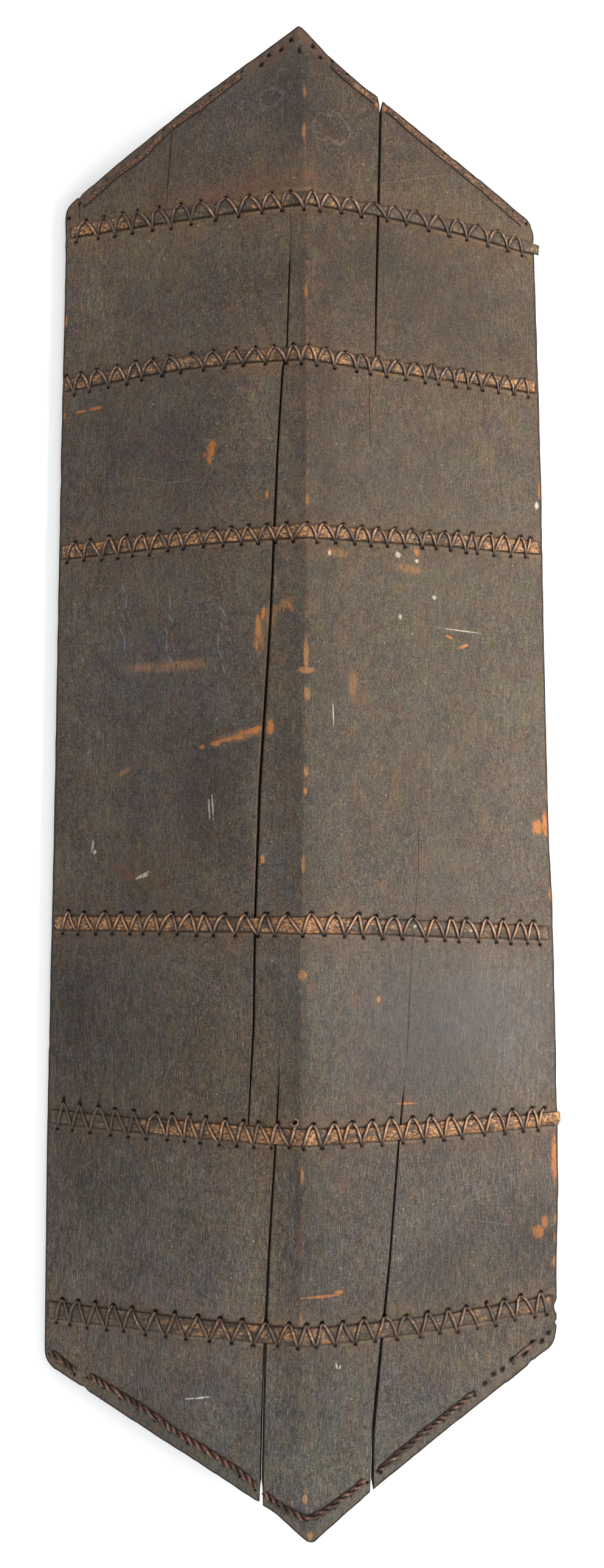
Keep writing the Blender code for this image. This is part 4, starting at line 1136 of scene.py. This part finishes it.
class Finish:
    """A material in the making: a colour that is laid over in turn, and short ways to add nodes for it."""

    def __init__(self, name, specular):
        self.material = bpy.data.materials.new(name)
        self.material.use_nodes = True
        self.tree = self.material.node_tree
        self.shader = self.tree.nodes["Principled BSDF"]
        self.shader.inputs["Specular IOR Level"].default_value = specular
        self.place = self.node("TexCoord").outputs["Object"]
        self.colour = None

    def node(self, kind, values=(), **settings):
        """A new node, with values for its inputs in order or by name."""
        made = self.tree.nodes.new("ShaderNode" + kind)
        for name, value in settings.items():
            setattr(made, name, value)
        for key, value in values.items() if isinstance(values, dict) else enumerate(values):
            self.put(made.inputs[key], value)
        return made

    def put(self, socket, value):
        if isinstance(value, Value):
            value = value.socket
        if isinstance(value, bpy.types.NodeSocket):
            self.tree.links.new(value, socket)
        elif isinstance(value, tuple) and socket.type == "RGBA":
            socket.default_value = (*value, 1.0)
        else:
            socket.default_value = value

    def math(self, operation, *values):
        return Value(self, self.node("Math", values, operation=operation).outputs[0])

    def mix(self, share, first, second, blend="MIX"):
        made = self.node("Mix", {0: share, 6: first, 7: second}, data_type="RGBA", blend_type=blend)
        return Value(self, made.outputs[2])

    def lay(self, share, tint):
        """Lays a share of a tint over the colour."""
        self.colour = self.mix(share, self.colour, tint)

    def stain(self, tint):
        """Multiplies the colour by a tint."""
        self.colour = self.mix(1.0, self.colour, tint, "MULTIPLY")

    def scaled(self, sizes, offset, turn=0.0):
        """Object coordinates divided by the sizes along X, Y and Z."""
        return self.node("Mapping", {
            "Location": (offset, offset * 0.7, offset * 0.3), "Rotation": (0, 0, turn),
            "Scale": tuple(1 / size for size in sizes), "Vector": self.place}).outputs[0]

    def noise(self, sizes, offset, detail=2.0, roughness=0.5, turn=0.0):
        made = self.node("TexNoise", {"Scale": 1.0, "Detail": detail, "Roughness": roughness,
                                      "Vector": self.scaled(sizes, offset, turn)})
        return Value(self, made.outputs[0])

    def tints(self, sizes, offset, detail, roughness):
        """Noise of its own in each channel."""
        return self.noise(sizes, offset, detail, roughness).socket.node.outputs["Color"]

    def cells(self, sizes, offset):
        """Distance from the nearest of scattered points, in cell widths."""
        made = self.node("TexVoronoi", {"Scale": 1.0, "Vector": self.scaled(sizes, offset)})
        return Value(self, made.outputs["Distance"])

    def value(self, name):
        return Value(self, self.node("Attribute", attribute_name=name).outputs["Fac"])

    def values(self, *names):
        return [self.value(name) for name in names]

    def axis(self, index):
        return Value(self, self.node("SeparateXYZ", (self.place,)).outputs[index])

    def reach(self, ellipses):
        """The least distance from the ellipses' middles, scaled so that it is 1 on their outlines. They are
        given as X, Y, half width and half height in mm, and turn in degrees. Each step is given the least
        so far as a Z that counts for nothing, because a shader that may work them out side by side runs out
        of room."""
        x, y = self.axis(0), self.axis(1)
        nearest = 10.0
        for mark_x, mark_y, half_width, half_height, turn in ellipses:
            place = self.node("CombineXYZ", (x, y, nearest))
            made = self.node("Mapping", {
                "Location": (mark_x * MM, mark_y * MM, 0), "Rotation": (0, 0, math.radians(turn)),
                "Scale": (half_width * MM, half_height * MM, 1e6), "Vector": place.outputs[0],
            }, vector_type="TEXTURE")
            size = self.node("VectorMath", (made.outputs[0],), operation="LENGTH")
            nearest = self.math("MINIMUM", nearest, size.outputs["Value"])
        return nearest

    def marks(self, ellipses, ragged, soft):
        """1 within any of the ellipses, with ragged edges: their reach, plus noise, thresholded."""
        return (self.reach(ellipses) + ragged).step(1 - soft, 1 + soft, 1.0, 0.0)

    def rings(self, ellipses, ragged):
        """1 along the ellipses' outlines."""
        return (self.reach(ellipses) + ragged - 1.0).size().step(0.14, 0.03)

    def done(self, roughness, height, depth):
        """The material, its colour dimmed for the strong light, with relief of a height and a depth."""
        bump = self.node("Bump", {"Strength": 1.0, "Distance": depth, "Height": height})
        self.stain((DIMMED, DIMMED, DIMMED))
        fed = {"Base Color": self.colour, "Roughness": roughness, "Normal": bump.outputs[0]}
        for name, value in fed.items():
            self.put(self.shader.inputs[name], value)
        return self.material


LIGHT_GAIN = 1.6
DIMMED = 1 / LIGHT_GAIN
# Ellipses on the board and the cane: X, Y, half width and half height in mm, and turn in degrees
ORANGE_WEAR = (
    (-78, 256, 3.5, 7.4, -6), (-79.5, 247, 1.9, 4.0, 0), (-84, 252, 0.8, 1.6, 0), (-190, 300.5, 5, 1.2, 2),
    (-177, 301.5, 5, 1.3, 4), (-205, 299, 1.6, 2.6, 0), (-33, 215, 1.0, 3.4, 0), (90, 175, 2.2, 3, 0),
    (-40, 108, 1.6, 9, 4), (-36, 119, 1.5, 5, -10), (-41, 94, 1.0, 5, 0), (-14, 123, 1.2, 3.6, 20),
    (-62, 19, 13, 1.5, 12), (-44, 25, 9, 2.4, 14), (-54, 20, 5, 2.2, 0), (-74, 15, 4, 1.8, 0),
    (-85, 13, 2.0, 2.0, 0), (-30, 28, 2.4, 7, -6), (130, 99, 4.5, 1.4, 20), (118, 106, 3, 0.9, -20),
    (196, -50, 4.6, 6, -12), (203, -46, 3.0, 9, 0), (-36, -77, 1.6, 3, 0), (79, -272, 8, 0.9, 0),
    (57, -189, 1.6, 2.4, 0), (10, -416, 13, 1.0, 0), (24, -414, 3, 1.6, 0), (192, -384, 4.8, 5.2, -20),
    (199, -376, 3, 5, 0), (208, -326, 2.6, 17, 0), (208, -375, 1.6, 4, 0), (208, -390, 1.6, 4, 0),
    (207, -409, 1.6, 4, 0), (207, -106, 1.6, 5, 0), (205, -22, 1.6, 7, 0), (201, 239, 1.5, 6, 0),
    (-204, 381, 1.4, 5, 0), (-212, -227, 1.6, 5, 0), (65, 544, 2.6, 2.0, -30), (57.5, 546, 1.6, 2.2, 0),
)
SCUFFS = (
    (-135, 80, 12, 3.0, 3), (-105, 80, 20, 4.2, 3), (-39, 102, 4, 12, 0), (-30, 116, 4, 8, 0),
    (-52, 22, 18, 3.6, 12), (36, 62, 3, 9, 0), (22, 168, 8, 3, 0), (84, 160, 9, 3, 0),
    (-150, -6, 6, 1.6, 30), (-20, 125, 7, 3, 40),
)
RED_STAINS = (
    (-60, 470, 34, 6, 8), (-8, 475, 12, 5, -3), (-33, 573, 24, 4.5, 31), (5, 584, 15, 4.5, -40),
    (-7.5, 594, 5, 4, 0), (60, 30, 1.0, 10, 0), (75, 0, 0.9, 12, 2), (38, -20, 1.0, 14, -2),
    (100, -30, 1.0, 10, 0), (52, -60, 0.9, 9, 0), (20, 20, 0.9, 9, 0), (88, 40, 0.8, 8, 0),
    (120, 20, 0.8, 10, 0), (-142, -90, 7, 4, 15), (-150, -84, 5, 3, 0), (27, 98, 4, 7, 0),
    (45, 52, 4, 6, 0), (177, 16, 3, 5, 0), (72, -12, 4, 8, 0), (93, -78, 4, 6, 0), (37, -188, 3, 6, 0),
    (2, -178, 3, 5, 0), (29, -334, 4, 6, 0), (-6, -372, 1.4, 16, 0),
)
PALE_MARKS = (
    (74, 171, 2.2, 3.0, 20), (90, 167, 1.6, 1.6, 0), (17, 167, 1.6, 2.4, 0), (105, 138, 1.8, 1.4, 0),
    (76, 120, 1.5, 2.0, 0), (-176, -66, 1.0, 4.6, -8), (-174, -71, 1.4, 1.6, 0), (-134, -91, 4.8, 1.4, 20),
    (-131, -88.6, 3.2, 0.6, 25), (198, 225, 1.6, 3, 0), (-92, -500, 3.4, 0.5, 10),
    (-84, -498.6, 3.6, 0.7, 14), (-79, -497.4, 2.2, 0.4, 4), (22, -470, 0.7, 2.2, 10),
    (24.6, -471.2, 0.5, 1.6, -15), (-76, -35, 0.8, 9, 4), (-79, -36, 0.8, 8, 4), (20, 38, 0.5, 12, 2),
    (129, 112, 18, 0.5, -3),
)
RIDGE_WEAR = (
    (-3, 544.7, 1.3, 4.5, 0), (-3.6, 511.5, 1.5, 6.5, 0), (-2, 380, 1.1, 6, 0), (-1, 209, 1.2, 5, 0),
    (-2, 86, 2.0, 12, 0), (-2, 72, 6, 2.6, 0), (-1, 53, 2.6, 5, 0), (-2, -8, 1.6, 4, 0),
    (-3, -24, 1.4, 3, 0), (-4, -81, 1.4, 6, 0), (-5, -168, 3.0, 4, 0), (-5, -323, 1.2, 6, 0),
    (-6, -432, 1.2, 5, 0), (-3, -567, 2.0, 3.4, 0), (1, -595, 2.0, 3, 0),
)
HAIRLINES = (
    (50.5, 286, 0.35, 33, 0.6), (90.6, -70, 0.25, 24, -1), (-114.5, 499, 0.55, 38, -4),
    (-192.7, 476, 0.4, 13, 0), (-14.0, 425, 0.3, 26, 1), (86.6, -130, 0.22, 30, -5),
    (82, -195, 0.26, 42, -3), (-23.4, -236, 0.28, 18, -3), (150, 330, 0.2, 40, 0.5),
)
STAIN_RINGS = (
    (12, 517, 8.0, 10.5, -15), (25, 519, 8.5, 12, 20), (31, 486, 3.4, 3.6, 0), (-30, 543, 10, 7, 15),
)
FAINT_LINES = (
    (-132, 236, 16, 0.4, -16), (-108, 231.5, 9, 0.55, 3), (-96, 232.5, 5, 0.5, 12),
    (28.9, 543, 0.4, 10, -2), (92, 490, 34, 0.35, 19), (150, -372, 30, 0.35, -12), (168, -398, 22, 0.3, 30),
    (128, -352, 20, 0.3, 24), (120, -300, 0.3, 22, 14), (160, 60, 24, 0.3, -35), (135, 250, 26, 0.3, 42),
    (140, -352, 26, 0.3, 8), (165, -362, 18, 0.28, -6), (175, -385, 16, 0.3, 4), (150, -398, 20, 0.28, -14),
    (185, -372, 12, 0.3, 20), (130, -340, 14, 0.3, 30), (118, -385, 0.3, 16, 10), (172, -412, 14, 0.28, 2),
    (70, 380, 0.3, 24, -20), (-140, 380, 22, 0.3, 33), (-90, -170, 20, 0.3, -28), (-150, 150, 18, 0.3, 50),
)
CANE_CHIPS = (
    (14, -129, 1.5, 1.1, 0), (87, -131, 1.6, 0.9, 20), (122, -134, 1.5, 1.0, 0), (135, -135.5, 1.2, 0.9, 0),
)
# Columns of short scratches: X and Y of the middle in mm, and where its slants start in their round
STROKE_COLUMNS = ((-70, 99, 0), (-113, 108, 4), (-151, 123, 8))
STROKE_STEP = 11.5


def strokes():
    """Rows of short scratches that slant by turns, five to a column."""
    rows = []
    for x, y, first in STROKE_COLUMNS:
        for k in range(5):
            turn = k + first
            place = x + 2.2 * math.cos(1.7 * turn), y + STROKE_STEP * (k - 2)
            rows.append((*place, 0.55, 3.4 + turn % 3, 14 + 16 * math.sin(2.1 * turn)))
    return rows


def old_wood():
    """Dark grey-brown plank wood: grain along Y, mottling, specks, wear on crests, a painted sheen on the
    right wing, and painted shade along edges, splits and holes and, with grime, beside the battens.
    """
    wood = Finish("old_dark_wood", 0.22)
    inner, pit, dirt_and_shade, warm, inset = wood.values("inner", "pit", "dirt_and_shade", "warm", "inset")
    beside, strip, off = wood.values("beside_split", "strip", "off_ridge")
    front = 1.0 - inner
    lower = wood.axis(1).step(0.05, -0.25)
    broad = wood.noise((0.050, 0.120, 0.3), 3.0, 3, 0.55)
    other = wood.noise((0.030, 0.042, 0.3), 9.0, 4, 0.62)
    middle = wood.noise((0.008, 0.012, 0.1), 5.0, 4, 0.66)
    streak = wood.noise((0.0016, 0.015, 0.1), 15.0, 3, 0.60)
    fine = wood.noise((0.0008, 0.0036, 0.1), 7.0, 3, 0.60)
    thin = wood.noise((0.00045, 0.0034, 0.1), 1.0, 2, 0.55)
    grain = wood.noise((0.0010, 0.0012, 0.05), 17.0, 2, 0.70)
    speckle = wood.noise((0.0018, 0.0022, 0.02), 11.0, 3, 0.65)
    flake = wood.noise((0.0036, 0.0062, 0.05), 13.0, 4, 0.68)

    # Light and dark grain: a noise, the values between which it takes hold, its share and its tint
    wood.colour = wood.mix(broad.step(0.36, 0.64), (0.097, 0.074, 0.058), (0.119, 0.091, 0.069))
    streaks = (lower * 0.42).most(0.14)
    for noise, low, high, share, tint in (
        (other, 0.50, 0.66, 0.70, (0.130, 0.108, 0.074)),
        (other, 0.48, 0.34, 0.70, (0.076, 0.061, 0.056)),
        (middle, 0.52, 0.68, 0.60, (0.160, 0.118, 0.082)),
        (middle, 0.48, 0.34, 0.60, (0.063, 0.048, 0.041)),
        (streak, 0.50, 0.68, streaks, (0.190, 0.150, 0.112)),
        (streak, 0.48, 0.34, streaks, (0.050, 0.039, 0.034)),
        (fine, 0.52, 0.68, 0.36, (0.205, 0.160, 0.120)),
        (fine, 0.48, 0.34, 0.40, (0.045, 0.034, 0.029)),
        (grain, 0.54, 0.66, 0.64, (0.250, 0.198, 0.152)),
        (grain, 0.46, 0.34, 0.66, (0.042, 0.031, 0.026)),
    ):
        wood.lay(noise.step(low, high) * share, tint)
    wood.lay(flake.step(0.58, 0.70) * broad.step(0.40, 0.60) * 0.45, (0.190, 0.112, 0.066))

    # Mottling in colour and in brightness, needles of grain, and scattered dots and pocks
    wood.stain(wood.mix(0.42, (1.36, 1.36, 1.36), wood.tints((0.0080, 0.0130, 0.1), 19.0, 3, 0.60)))
    cool = wood.noise((0.0120, 0.0190, 0.1), 23.0, 3, 0.60).step(0.32, 0.68)
    wood.stain(wood.mix(cool, (1.065, 1.00, 0.89), (0.94, 1.00, 1.10)))
    wood.stain(-0.33 + speckle * 1.30 + flake * 0.99 + grain * 0.30)
    needle = wood.noise((0.00055, 0.0085, 0.1), 41.0, 1, 0.5)
    needles = (lower * 0.82).most(0.50)
    wood.lay(needle.step(0.62, 0.70) * needles, (0.255, 0.205, 0.155))
    wood.lay(needle.step(0.38, 0.30) * needles, (0.036, 0.027, 0.022))
    dots = wood.cells((0.0046, 0.0054, 0.02), 31.0).step(0.17, 0.07)
    wood.lay(dots * speckle.step(0.46, 0.56) * 0.62, (0.300, 0.245, 0.185))
    pocks = wood.cells((0.0044, 0.0050, 0.02), 37.0).step(0.18, 0.08)
    wood.lay(pocks * speckle.step(0.54, 0.44) * 0.68, (0.030, 0.021, 0.017))
    # Calm wood is evened to a plain grey brown, which between the fourth and fifth bands on the right wing
    # is a painted sheen.
    wood.lay(wood.value("calm_and_sheen") * 0.55, (0.112, 0.091, 0.077))

    # Fine scratches in three directions, faint lines, rings, and what gathers beside the battens and edges
    scratch = 0.0
    for seed, turn, length in ((21.0, 0.35, 0.026), (25.0, -0.75, 0.020), (29.0, 1.35, 0.030)):
        line = wood.noise((0.00055, length, 0.1), seed, 1, 0.5, turn).step(0.68, 0.75)
        scratch = wood.math("MAXIMUM", scratch, line)
    scratch = scratch * other.step(0.44, 0.60) * 0.70
    wood.lay(scratch, (0.270, 0.230, 0.180))
    uneven = (middle - 0.5) * 1.5
    faint = wood.marks(FAINT_LINES, uneven * 1.5, 0.5) * front * 0.42
    wood.lay(faint.most(wood.rings(STAIN_RINGS, uneven) * front * 0.46), (0.260, 0.225, 0.175))
    wood.lay(warm * speckle.step(0.34, 0.62) * 0.62, (0.210, 0.108, 0.052))
    wood.lay(wood.value("dust") * speckle.step(0.32, 0.52) * 0.92, (0.275, 0.190, 0.118))
    border = strip * (flake + speckle * 0.5).step(0.58, 0.86)
    wood.lay(border * 0.55, wood.mix(lower, (0.185, 0.118, 0.074), (0.150, 0.122, 0.080)))

    # Stains and wear: where, tint, share, softness of the outline and the least share between their streaks
    ragged = (flake - 0.5) * 3.4 + (speckle - 0.5) * 2.6 + (grain - 0.5) * 1.6
    crisp = ragged * 0.6
    varied = -0.35 + grain * 1.1 + streak * 0.9 + speckle * 0.8
    for rows, outline, tint, share, soft, least in (
        (RED_STAINS, ragged, (0.200, 0.095, 0.055), 0.50, 0.8, 0.20),
        (SCUFFS, ragged, (0.350, 0.175, 0.080), 0.75, 0.5, 0.15),
        (ORANGE_WEAR, crisp, (0.540, 0.200, 0.055), 0.92, 0.22, 0.68),
        (RIDGE_WEAR, crisp, (0.460, 0.215, 0.085), 0.88, 0.20, 0.55),
        (PALE_MARKS, crisp, (0.620, 0.560, 0.480), 0.90, 0.20, 0.60),
    ):
        mask = wood.marks(rows, outline, soft) * (streak + fine).step(0.78, 0.96, least, 1.0)
        wood.lay(mask * front * share, wood.mix(1.0, tint, varied, "MULTIPLY"))
    crest = off.size().step(0.0018, 0.0003) * flake.step(0.50, 0.57) * speckle.step(0.44, 0.56, 0.25, 1.0)
    wood.lay(crest * front * 0.75, (0.300, 0.145, 0.072))
    wood.lay(wood.value("lip") * speckle.step(0.38, 0.56) * 0.75, (0.320, 0.185, 0.110))
    specks = wood.cells((0.0080, 0.0095, 0.02), 2.0).step(0.085, 0.030)
    wood.lay(specks * other.step(0.48, 0.60) * front * 0.95, (0.600, 0.550, 0.470))
    rust = wood.cells((0.0130, 0.0170, 0.03), 6.0).step(0.11, 0.04)
    wood.lay(rust * middle.step(0.48, 0.58) * front * 0.70, (0.260, 0.110, 0.050))
    rubbed = inset.step(0.0036, 0.0010) * flake.step(0.50, 0.60) * front
    wood.lay(rubbed * 0.60, (0.280, 0.125, 0.060))

    # Painted shade along the edges, at the splits, in the holes and hairline cracks, and painted shade with
    # grime in the corners beside the battens; then the short strokes
    dark = inset.step(0.0024, 0.0010, 0.0, 0.90).most(dirt_and_shade * 0.70)
    dark = dark.most(beside.step(0.0010, 0.0002, 0.0, 0.85)).most(pit.step(0.20, 0.60, 0.0, 0.96))
    lines = wood.marks(HAIRLINES, (middle - 0.5) * 0.8, 0.3)
    wood.lay(dark.most(lines * front * 0.85), (0.018, 0.011, 0.010))
    scratched = wood.marks(strokes(), (thin - 0.5) * 1.4, 0.4) * front
    wood.lay(scratched * 0.78, (0.245, 0.250, 0.250))

    # Broad changes of hue and shade, with a painted sheen and painted shade on the right wing, then the
    # plainer back with its grain
    wood.stain(wood.mix(wood.value("hue").step(-0.7, 0.7), (0.960, 1.00, 1.14), (1.040, 0.970, 0.80)))
    wood.stain(wood.node("CombineXYZ", (1.0, 1.0 + wood.value("moss"), 1.0)).outputs[0])
    wood.stain(wood.math("POWER", 2.0, wood.value("shade")))
    along_grain = middle * 0.40 + streak * 0.60
    behind = wood.mix(along_grain.step(0.38, 0.62), (0.105, 0.078, 0.058), (0.165, 0.125, 0.092))
    wood.lay(inner, wood.mix(fine.step(0.47, 0.33) * 0.55, behind, (0.055, 0.040, 0.031)))
    heights = fine * 0.40 + grain * 0.35 + speckle * 0.40 + streak * 0.25
    heights = heights - (lines * front * 0.9 + scratched * 0.35 + scratch * 0.20)
    return wood.done(0.48 + speckle * 0.24, heights, 0.00050)


def cane():
    """Split cane as brown as the board: fibres along X, orange with golden flecks where it has been rubbed,
    and painted shade along its steep sides, with grime as well beside each strand."""
    strip = Finish("old_split_cane", 0.20)
    across, beside, wear = strip.values("across", "beside_strand", "wear")
    fibre = strip.noise((0.024, 0.0008, 0.02), 2.0, 3, 0.6)
    blotch = strip.noise((0.011, 0.007, 0.1), 5.0, 4, 0.65)
    speckle = strip.noise((0.0026, 0.0014, 0.01), 8.0, 2, 0.6)
    flecks = strip.noise((0.0013, 0.0026, 0.01), 12.0, 1, 0.5)
    strip.colour = strip.mix(blotch.step(0.38, 0.62), (0.086, 0.065, 0.047), (0.172, 0.118, 0.076))
    strip.lay(fibre.step(0.54, 0.68) * 0.50, (0.215, 0.148, 0.092))
    strip.lay(fibre.step(0.46, 0.32) * 0.60, (0.036, 0.025, 0.018))
    worn = (wear * 1.15 + (blotch - 0.5) * 2.6).step(0.34, 0.84) * speckle.step(0.34, 0.56)
    strip.lay(worn * 0.90, (0.460, 0.190, 0.075))
    strip.lay(worn * speckle.step(0.54, 0.62) * 0.95, (0.820, 0.480, 0.185))
    strip.lay(speckle.step(0.62, 0.70) * 0.45, (0.340, 0.220, 0.120))
    strip.lay(flecks.step(0.66, 0.72) * wear.step(0.0, 0.6, 0.35, 0.85), (0.640, 0.500, 0.340))
    strip.lay(flecks.step(0.36, 0.29) * 0.75, (0.026, 0.017, 0.013))
    strip.lay(strip.marks(CANE_CHIPS, (speckle - 0.5) * 2.0, 0.25) * 0.85, (0.620, 0.540, 0.430))
    # Painted shade with some grime beside each strand, then painted shade along the cane's steep sides.
    strip.lay(beside * speckle.step(0.20, 0.50, 0.92, 0.70), (0.022, 0.014, 0.010))
    strip.lay(across.step(0.86, 0.99, 0.0, 0.86), (0.018, 0.013, 0.010))
    return strip.done(0.48 + blotch * 0.2, fibre + speckle * 0.3, 0.00040)


def strand_rattan():
    """Flat brown rattan, rubbed to pinkish tan or orange along the middle, near black at ends and edges,
    which is painted shade with grime.
    """
    strand = Finish("lashing_strand_rattan", 0.34)
    tone, run, across, wear = strand.values("tone", "along", "across", "wear")
    blotch = strand.noise((0.016, 0.012, 0.1), 4.0, 2, 0.6)
    speckle = strand.noise((0.0018, 0.0018, 0.01), 6.0, 2, 0.6)
    strand.colour = strand.mix(tone, (0.098, 0.068, 0.050), (0.185, 0.106, 0.066))
    bright = wear * 1.2 + (blotch - 0.5) * 1.6 + (speckle - 0.5) * 1.2
    crest = run.step(0.06, 0.34) * run.step(0.94, 0.62) * across.step(0.70, 0.25)
    crest = crest * bright.step(0.14, 0.80) * tone.step(-0.1, 0.45, 0.35, 1.0)
    tan = strand.mix((tone * 0.5 + blotch).step(0.55, 0.95), (0.560, 0.290, 0.180), (0.580, 0.255, 0.100))
    strand.lay(crest * 0.95, strand.mix(speckle.step(0.52, 0.62), tan, (0.860, 0.520, 0.320)))
    # Near black ends, where the strands go into the holes, and near black edges: painted shade with grime.
    strand.lay(run.step(0.12, 0.03).most(run.step(0.88, 0.98)) * 0.80, (0.020, 0.014, 0.011))
    strand.lay(across.step(0.56, 0.80, 0.0, 0.94), (0.016, 0.011, 0.009))
    return strand.done(0.38 + speckle * 0.3, speckle, 0.00018)


def edge_rattan():
    """The rattan along the slanting edges: dark reddish brown, with a few pale crests, a painted highlight,
    and near black between them and on its sides and shadow line, painted shade; browner with orange glints
    where it has been pressed flat."""
    edge = Finish("edge_strand_rattan", 0.25)
    crest, pressed = edge.values("crest", "pressed")
    blotch = edge.noise((0.014, 0.014, 0.1), 3.0, 3, 0.6)
    speckle = edge.noise((0.0020, 0.0020, 0.01), 9.0, 2, 0.6)
    grain = edge.noise((0.0016, 0.0016, 0.01), 14.0, 1, 0.5)
    twisted = edge.mix(blotch.step(0.38, 0.62), (0.064, 0.030, 0.022), (0.140, 0.062, 0.040))
    flat = edge.mix(blotch.step(0.38, 0.62), (0.084, 0.052, 0.038), (0.160, 0.082, 0.048))
    edge.colour = edge.mix(pressed, twisted, flat)
    # Pale where the crest is high, where a helix rises and faces up: painted highlight.
    light = crest.step(0.40, 0.90) * speckle.step(0.44, 0.56) * blotch.step(0.38, 0.54)
    edge.lay(light * 0.90, edge.mix(pressed, (0.520, 0.300, 0.190), (0.600, 0.290, 0.130)))
    edge.lay(grain.step(0.56, 0.66) * pressed * 0.80, (0.480, 0.225, 0.100))
    edge.lay(speckle.step(0.46, 0.36) * pressed * 0.85, (0.036, 0.021, 0.017))
    # Near black where the crest is low, on the strands' sides, where the helices dip and on the shadow line:
    # painted shade.
    edge.lay(crest.step(0.42 - pressed * 0.30, 0.03, 0.0, 0.94), (0.020, 0.011, 0.009))
    return edge.done(0.44 + speckle * 0.25, speckle, 0.00030)


# The shield's six-sided footprint, for the floor: half its width, and the height and fall of its roof
FOOTPRINT_HALF, FOOTPRINT_TOP, FOOTPRINT_FALL = 0.215, 0.61, 0.58


def pale_floor():
    """Near-white floor with a faint glow past the shield's six-sided footprint, so that none shows through
    the splits: the footprint is |x| below one width and |y| below a roof over it."""
    floor = Finish("pale_floor", 0.1)
    across, up = (floor.axis(index).size() for index in (0, 1))
    past_side = across - FOOTPRINT_HALF
    past_slant = (up + across * FOOTPRINT_FALL - FOOTPRINT_TOP) * SLANT
    for name, value in (
        ("Emission Strength", past_side.most(past_slant).step(-0.01, 0.04, 0.0, FLOOR_GLOW)),
        ("Emission Color", (1.0, 1.0, 1.0)), ("Base Color", (0.93, 0.93, 0.925)), ("Roughness", 0.95),
    ):
        floor.put(floor.shader.inputs[name], value)
    return floor.material


# ---------------------------------------------------------------- camera, floor and light

CAMERA_PLACE = (-0.04405, -0.0900, 1.2597)
CAMERA_AXIS = (0.03309, 0.06102, -0.99759)
CAMERA_LENS = 34.24
SENSOR_HEIGHT = 36.0
FARTHEST = 30.0
FLOOR_HALF = 4.0
FLOOR_GLOW = 0.25
ROOM_COLOUR = (0.96, 0.98, 1.0, 1.0)
ROOM_STRENGTH = 0.36
# Name, place, target, size along X and Y, power in watts, colour
SOFT_LIGHTS = (
    ("key_softbox", (0.90, 0.05, 0.55), (0.0, 0.05, 0.03), (0.40, 1.30), 10.5, (1.0, 0.97, 0.93)),
    ("overhead_softbox", (-0.1, 0.1, 2.3), (0.0, 0.0, 0.0), (2.2, 2.6), 10.0, (1.0, 1.0, 1.0)),
    ("lower_fill", (-0.25, -1.5, 1.0), (0.0, -0.5, 0.0), (1.0, 0.6), 5.0, (0.95, 0.98, 1.0)),
    ("upper_fill", (-0.35, 1.4, 1.0), (0.0, 0.5, 0.0), (1.0, 0.6), 2.5, (1.0, 0.98, 0.95)),
)


def placed(name, data, matrix=None):
    """A new object in the scene, placed by a matrix where one is given."""
    made = bpy.data.objects.new(name, data)
    if matrix is not None:
        made.matrix_world = matrix
    bpy.context.scene.collection.objects.link(made)
    return made


def turned_to(place, axis):
    """The matrix of something at a place that looks along an axis, with +Y up in its view."""
    back = -Vector(axis).normalized()
    right = Vector((0, 1, 0)).cross(back).normalized()
    turn = Matrix((right, back.cross(right), back)).transposed()
    return Matrix.Translation(place) @ turn.to_4x4()


def set_camera():
    """The camera above the shield, looking down at it."""
    camera = bpy.data.cameras.new("looking_down")
    camera.sensor_fit = "VERTICAL"
    camera.sensor_height = SENSOR_HEIGHT
    camera.lens = CAMERA_LENS
    camera.clip_end = FARTHEST
    bpy.context.scene.camera = placed("looking_down", camera, turned_to(CAMERA_PLACE, CAMERA_AXIS))


def lay_floor():
    """A flat square under the shield."""
    mesh = bpy.data.meshes.new("floor")
    corners = [(x * FLOOR_HALF, y * FLOOR_HALF, 0) for x, y in ((-1, -1), (1, -1), (1, 1), (-1, 1))]
    mesh.from_pydata(corners, [], [(0, 1, 2, 3)])
    mesh.materials.append(pale_floor())
    floor = placed("floor", mesh)


def light_room():
    """Soft lights round the shield in a pale room."""
    for name, place, target, size, power, colour in SOFT_LIGHTS:
        light = bpy.data.lights.new(name, "AREA")
        light.color = colour
        light.shape = "RECTANGLE"
        light.size, light.size_y = size
        light.energy = power * LIGHT_GAIN
        placed(name, light, turned_to(place, Vector(target) - Vector(place)))
    scene = bpy.context.scene
    scene.world = bpy.data.worlds.new("pale_room")
    scene.world.use_nodes = True
    room = scene.world.node_tree.nodes["Background"]
    room.inputs["Color"].default_value = ROOM_COLOUR
    room.inputs["Strength"].default_value = ROOM_STRENGTH * LIGHT_GAIN
    scene.view_settings.view_transform = "Standard"


set_camera()
lay_floor()
light_room()
plank(old_wood())
cane_finish, strand_finish, edge_finish = cane(), strand_rattan(), edge_rattan()
for band in BATTEN_ENDS:
    batten(band, cane_finish)
    lashing(band, strand_finish)
for binding in BINDINGS:
    edge_binding(binding, edge_finish)
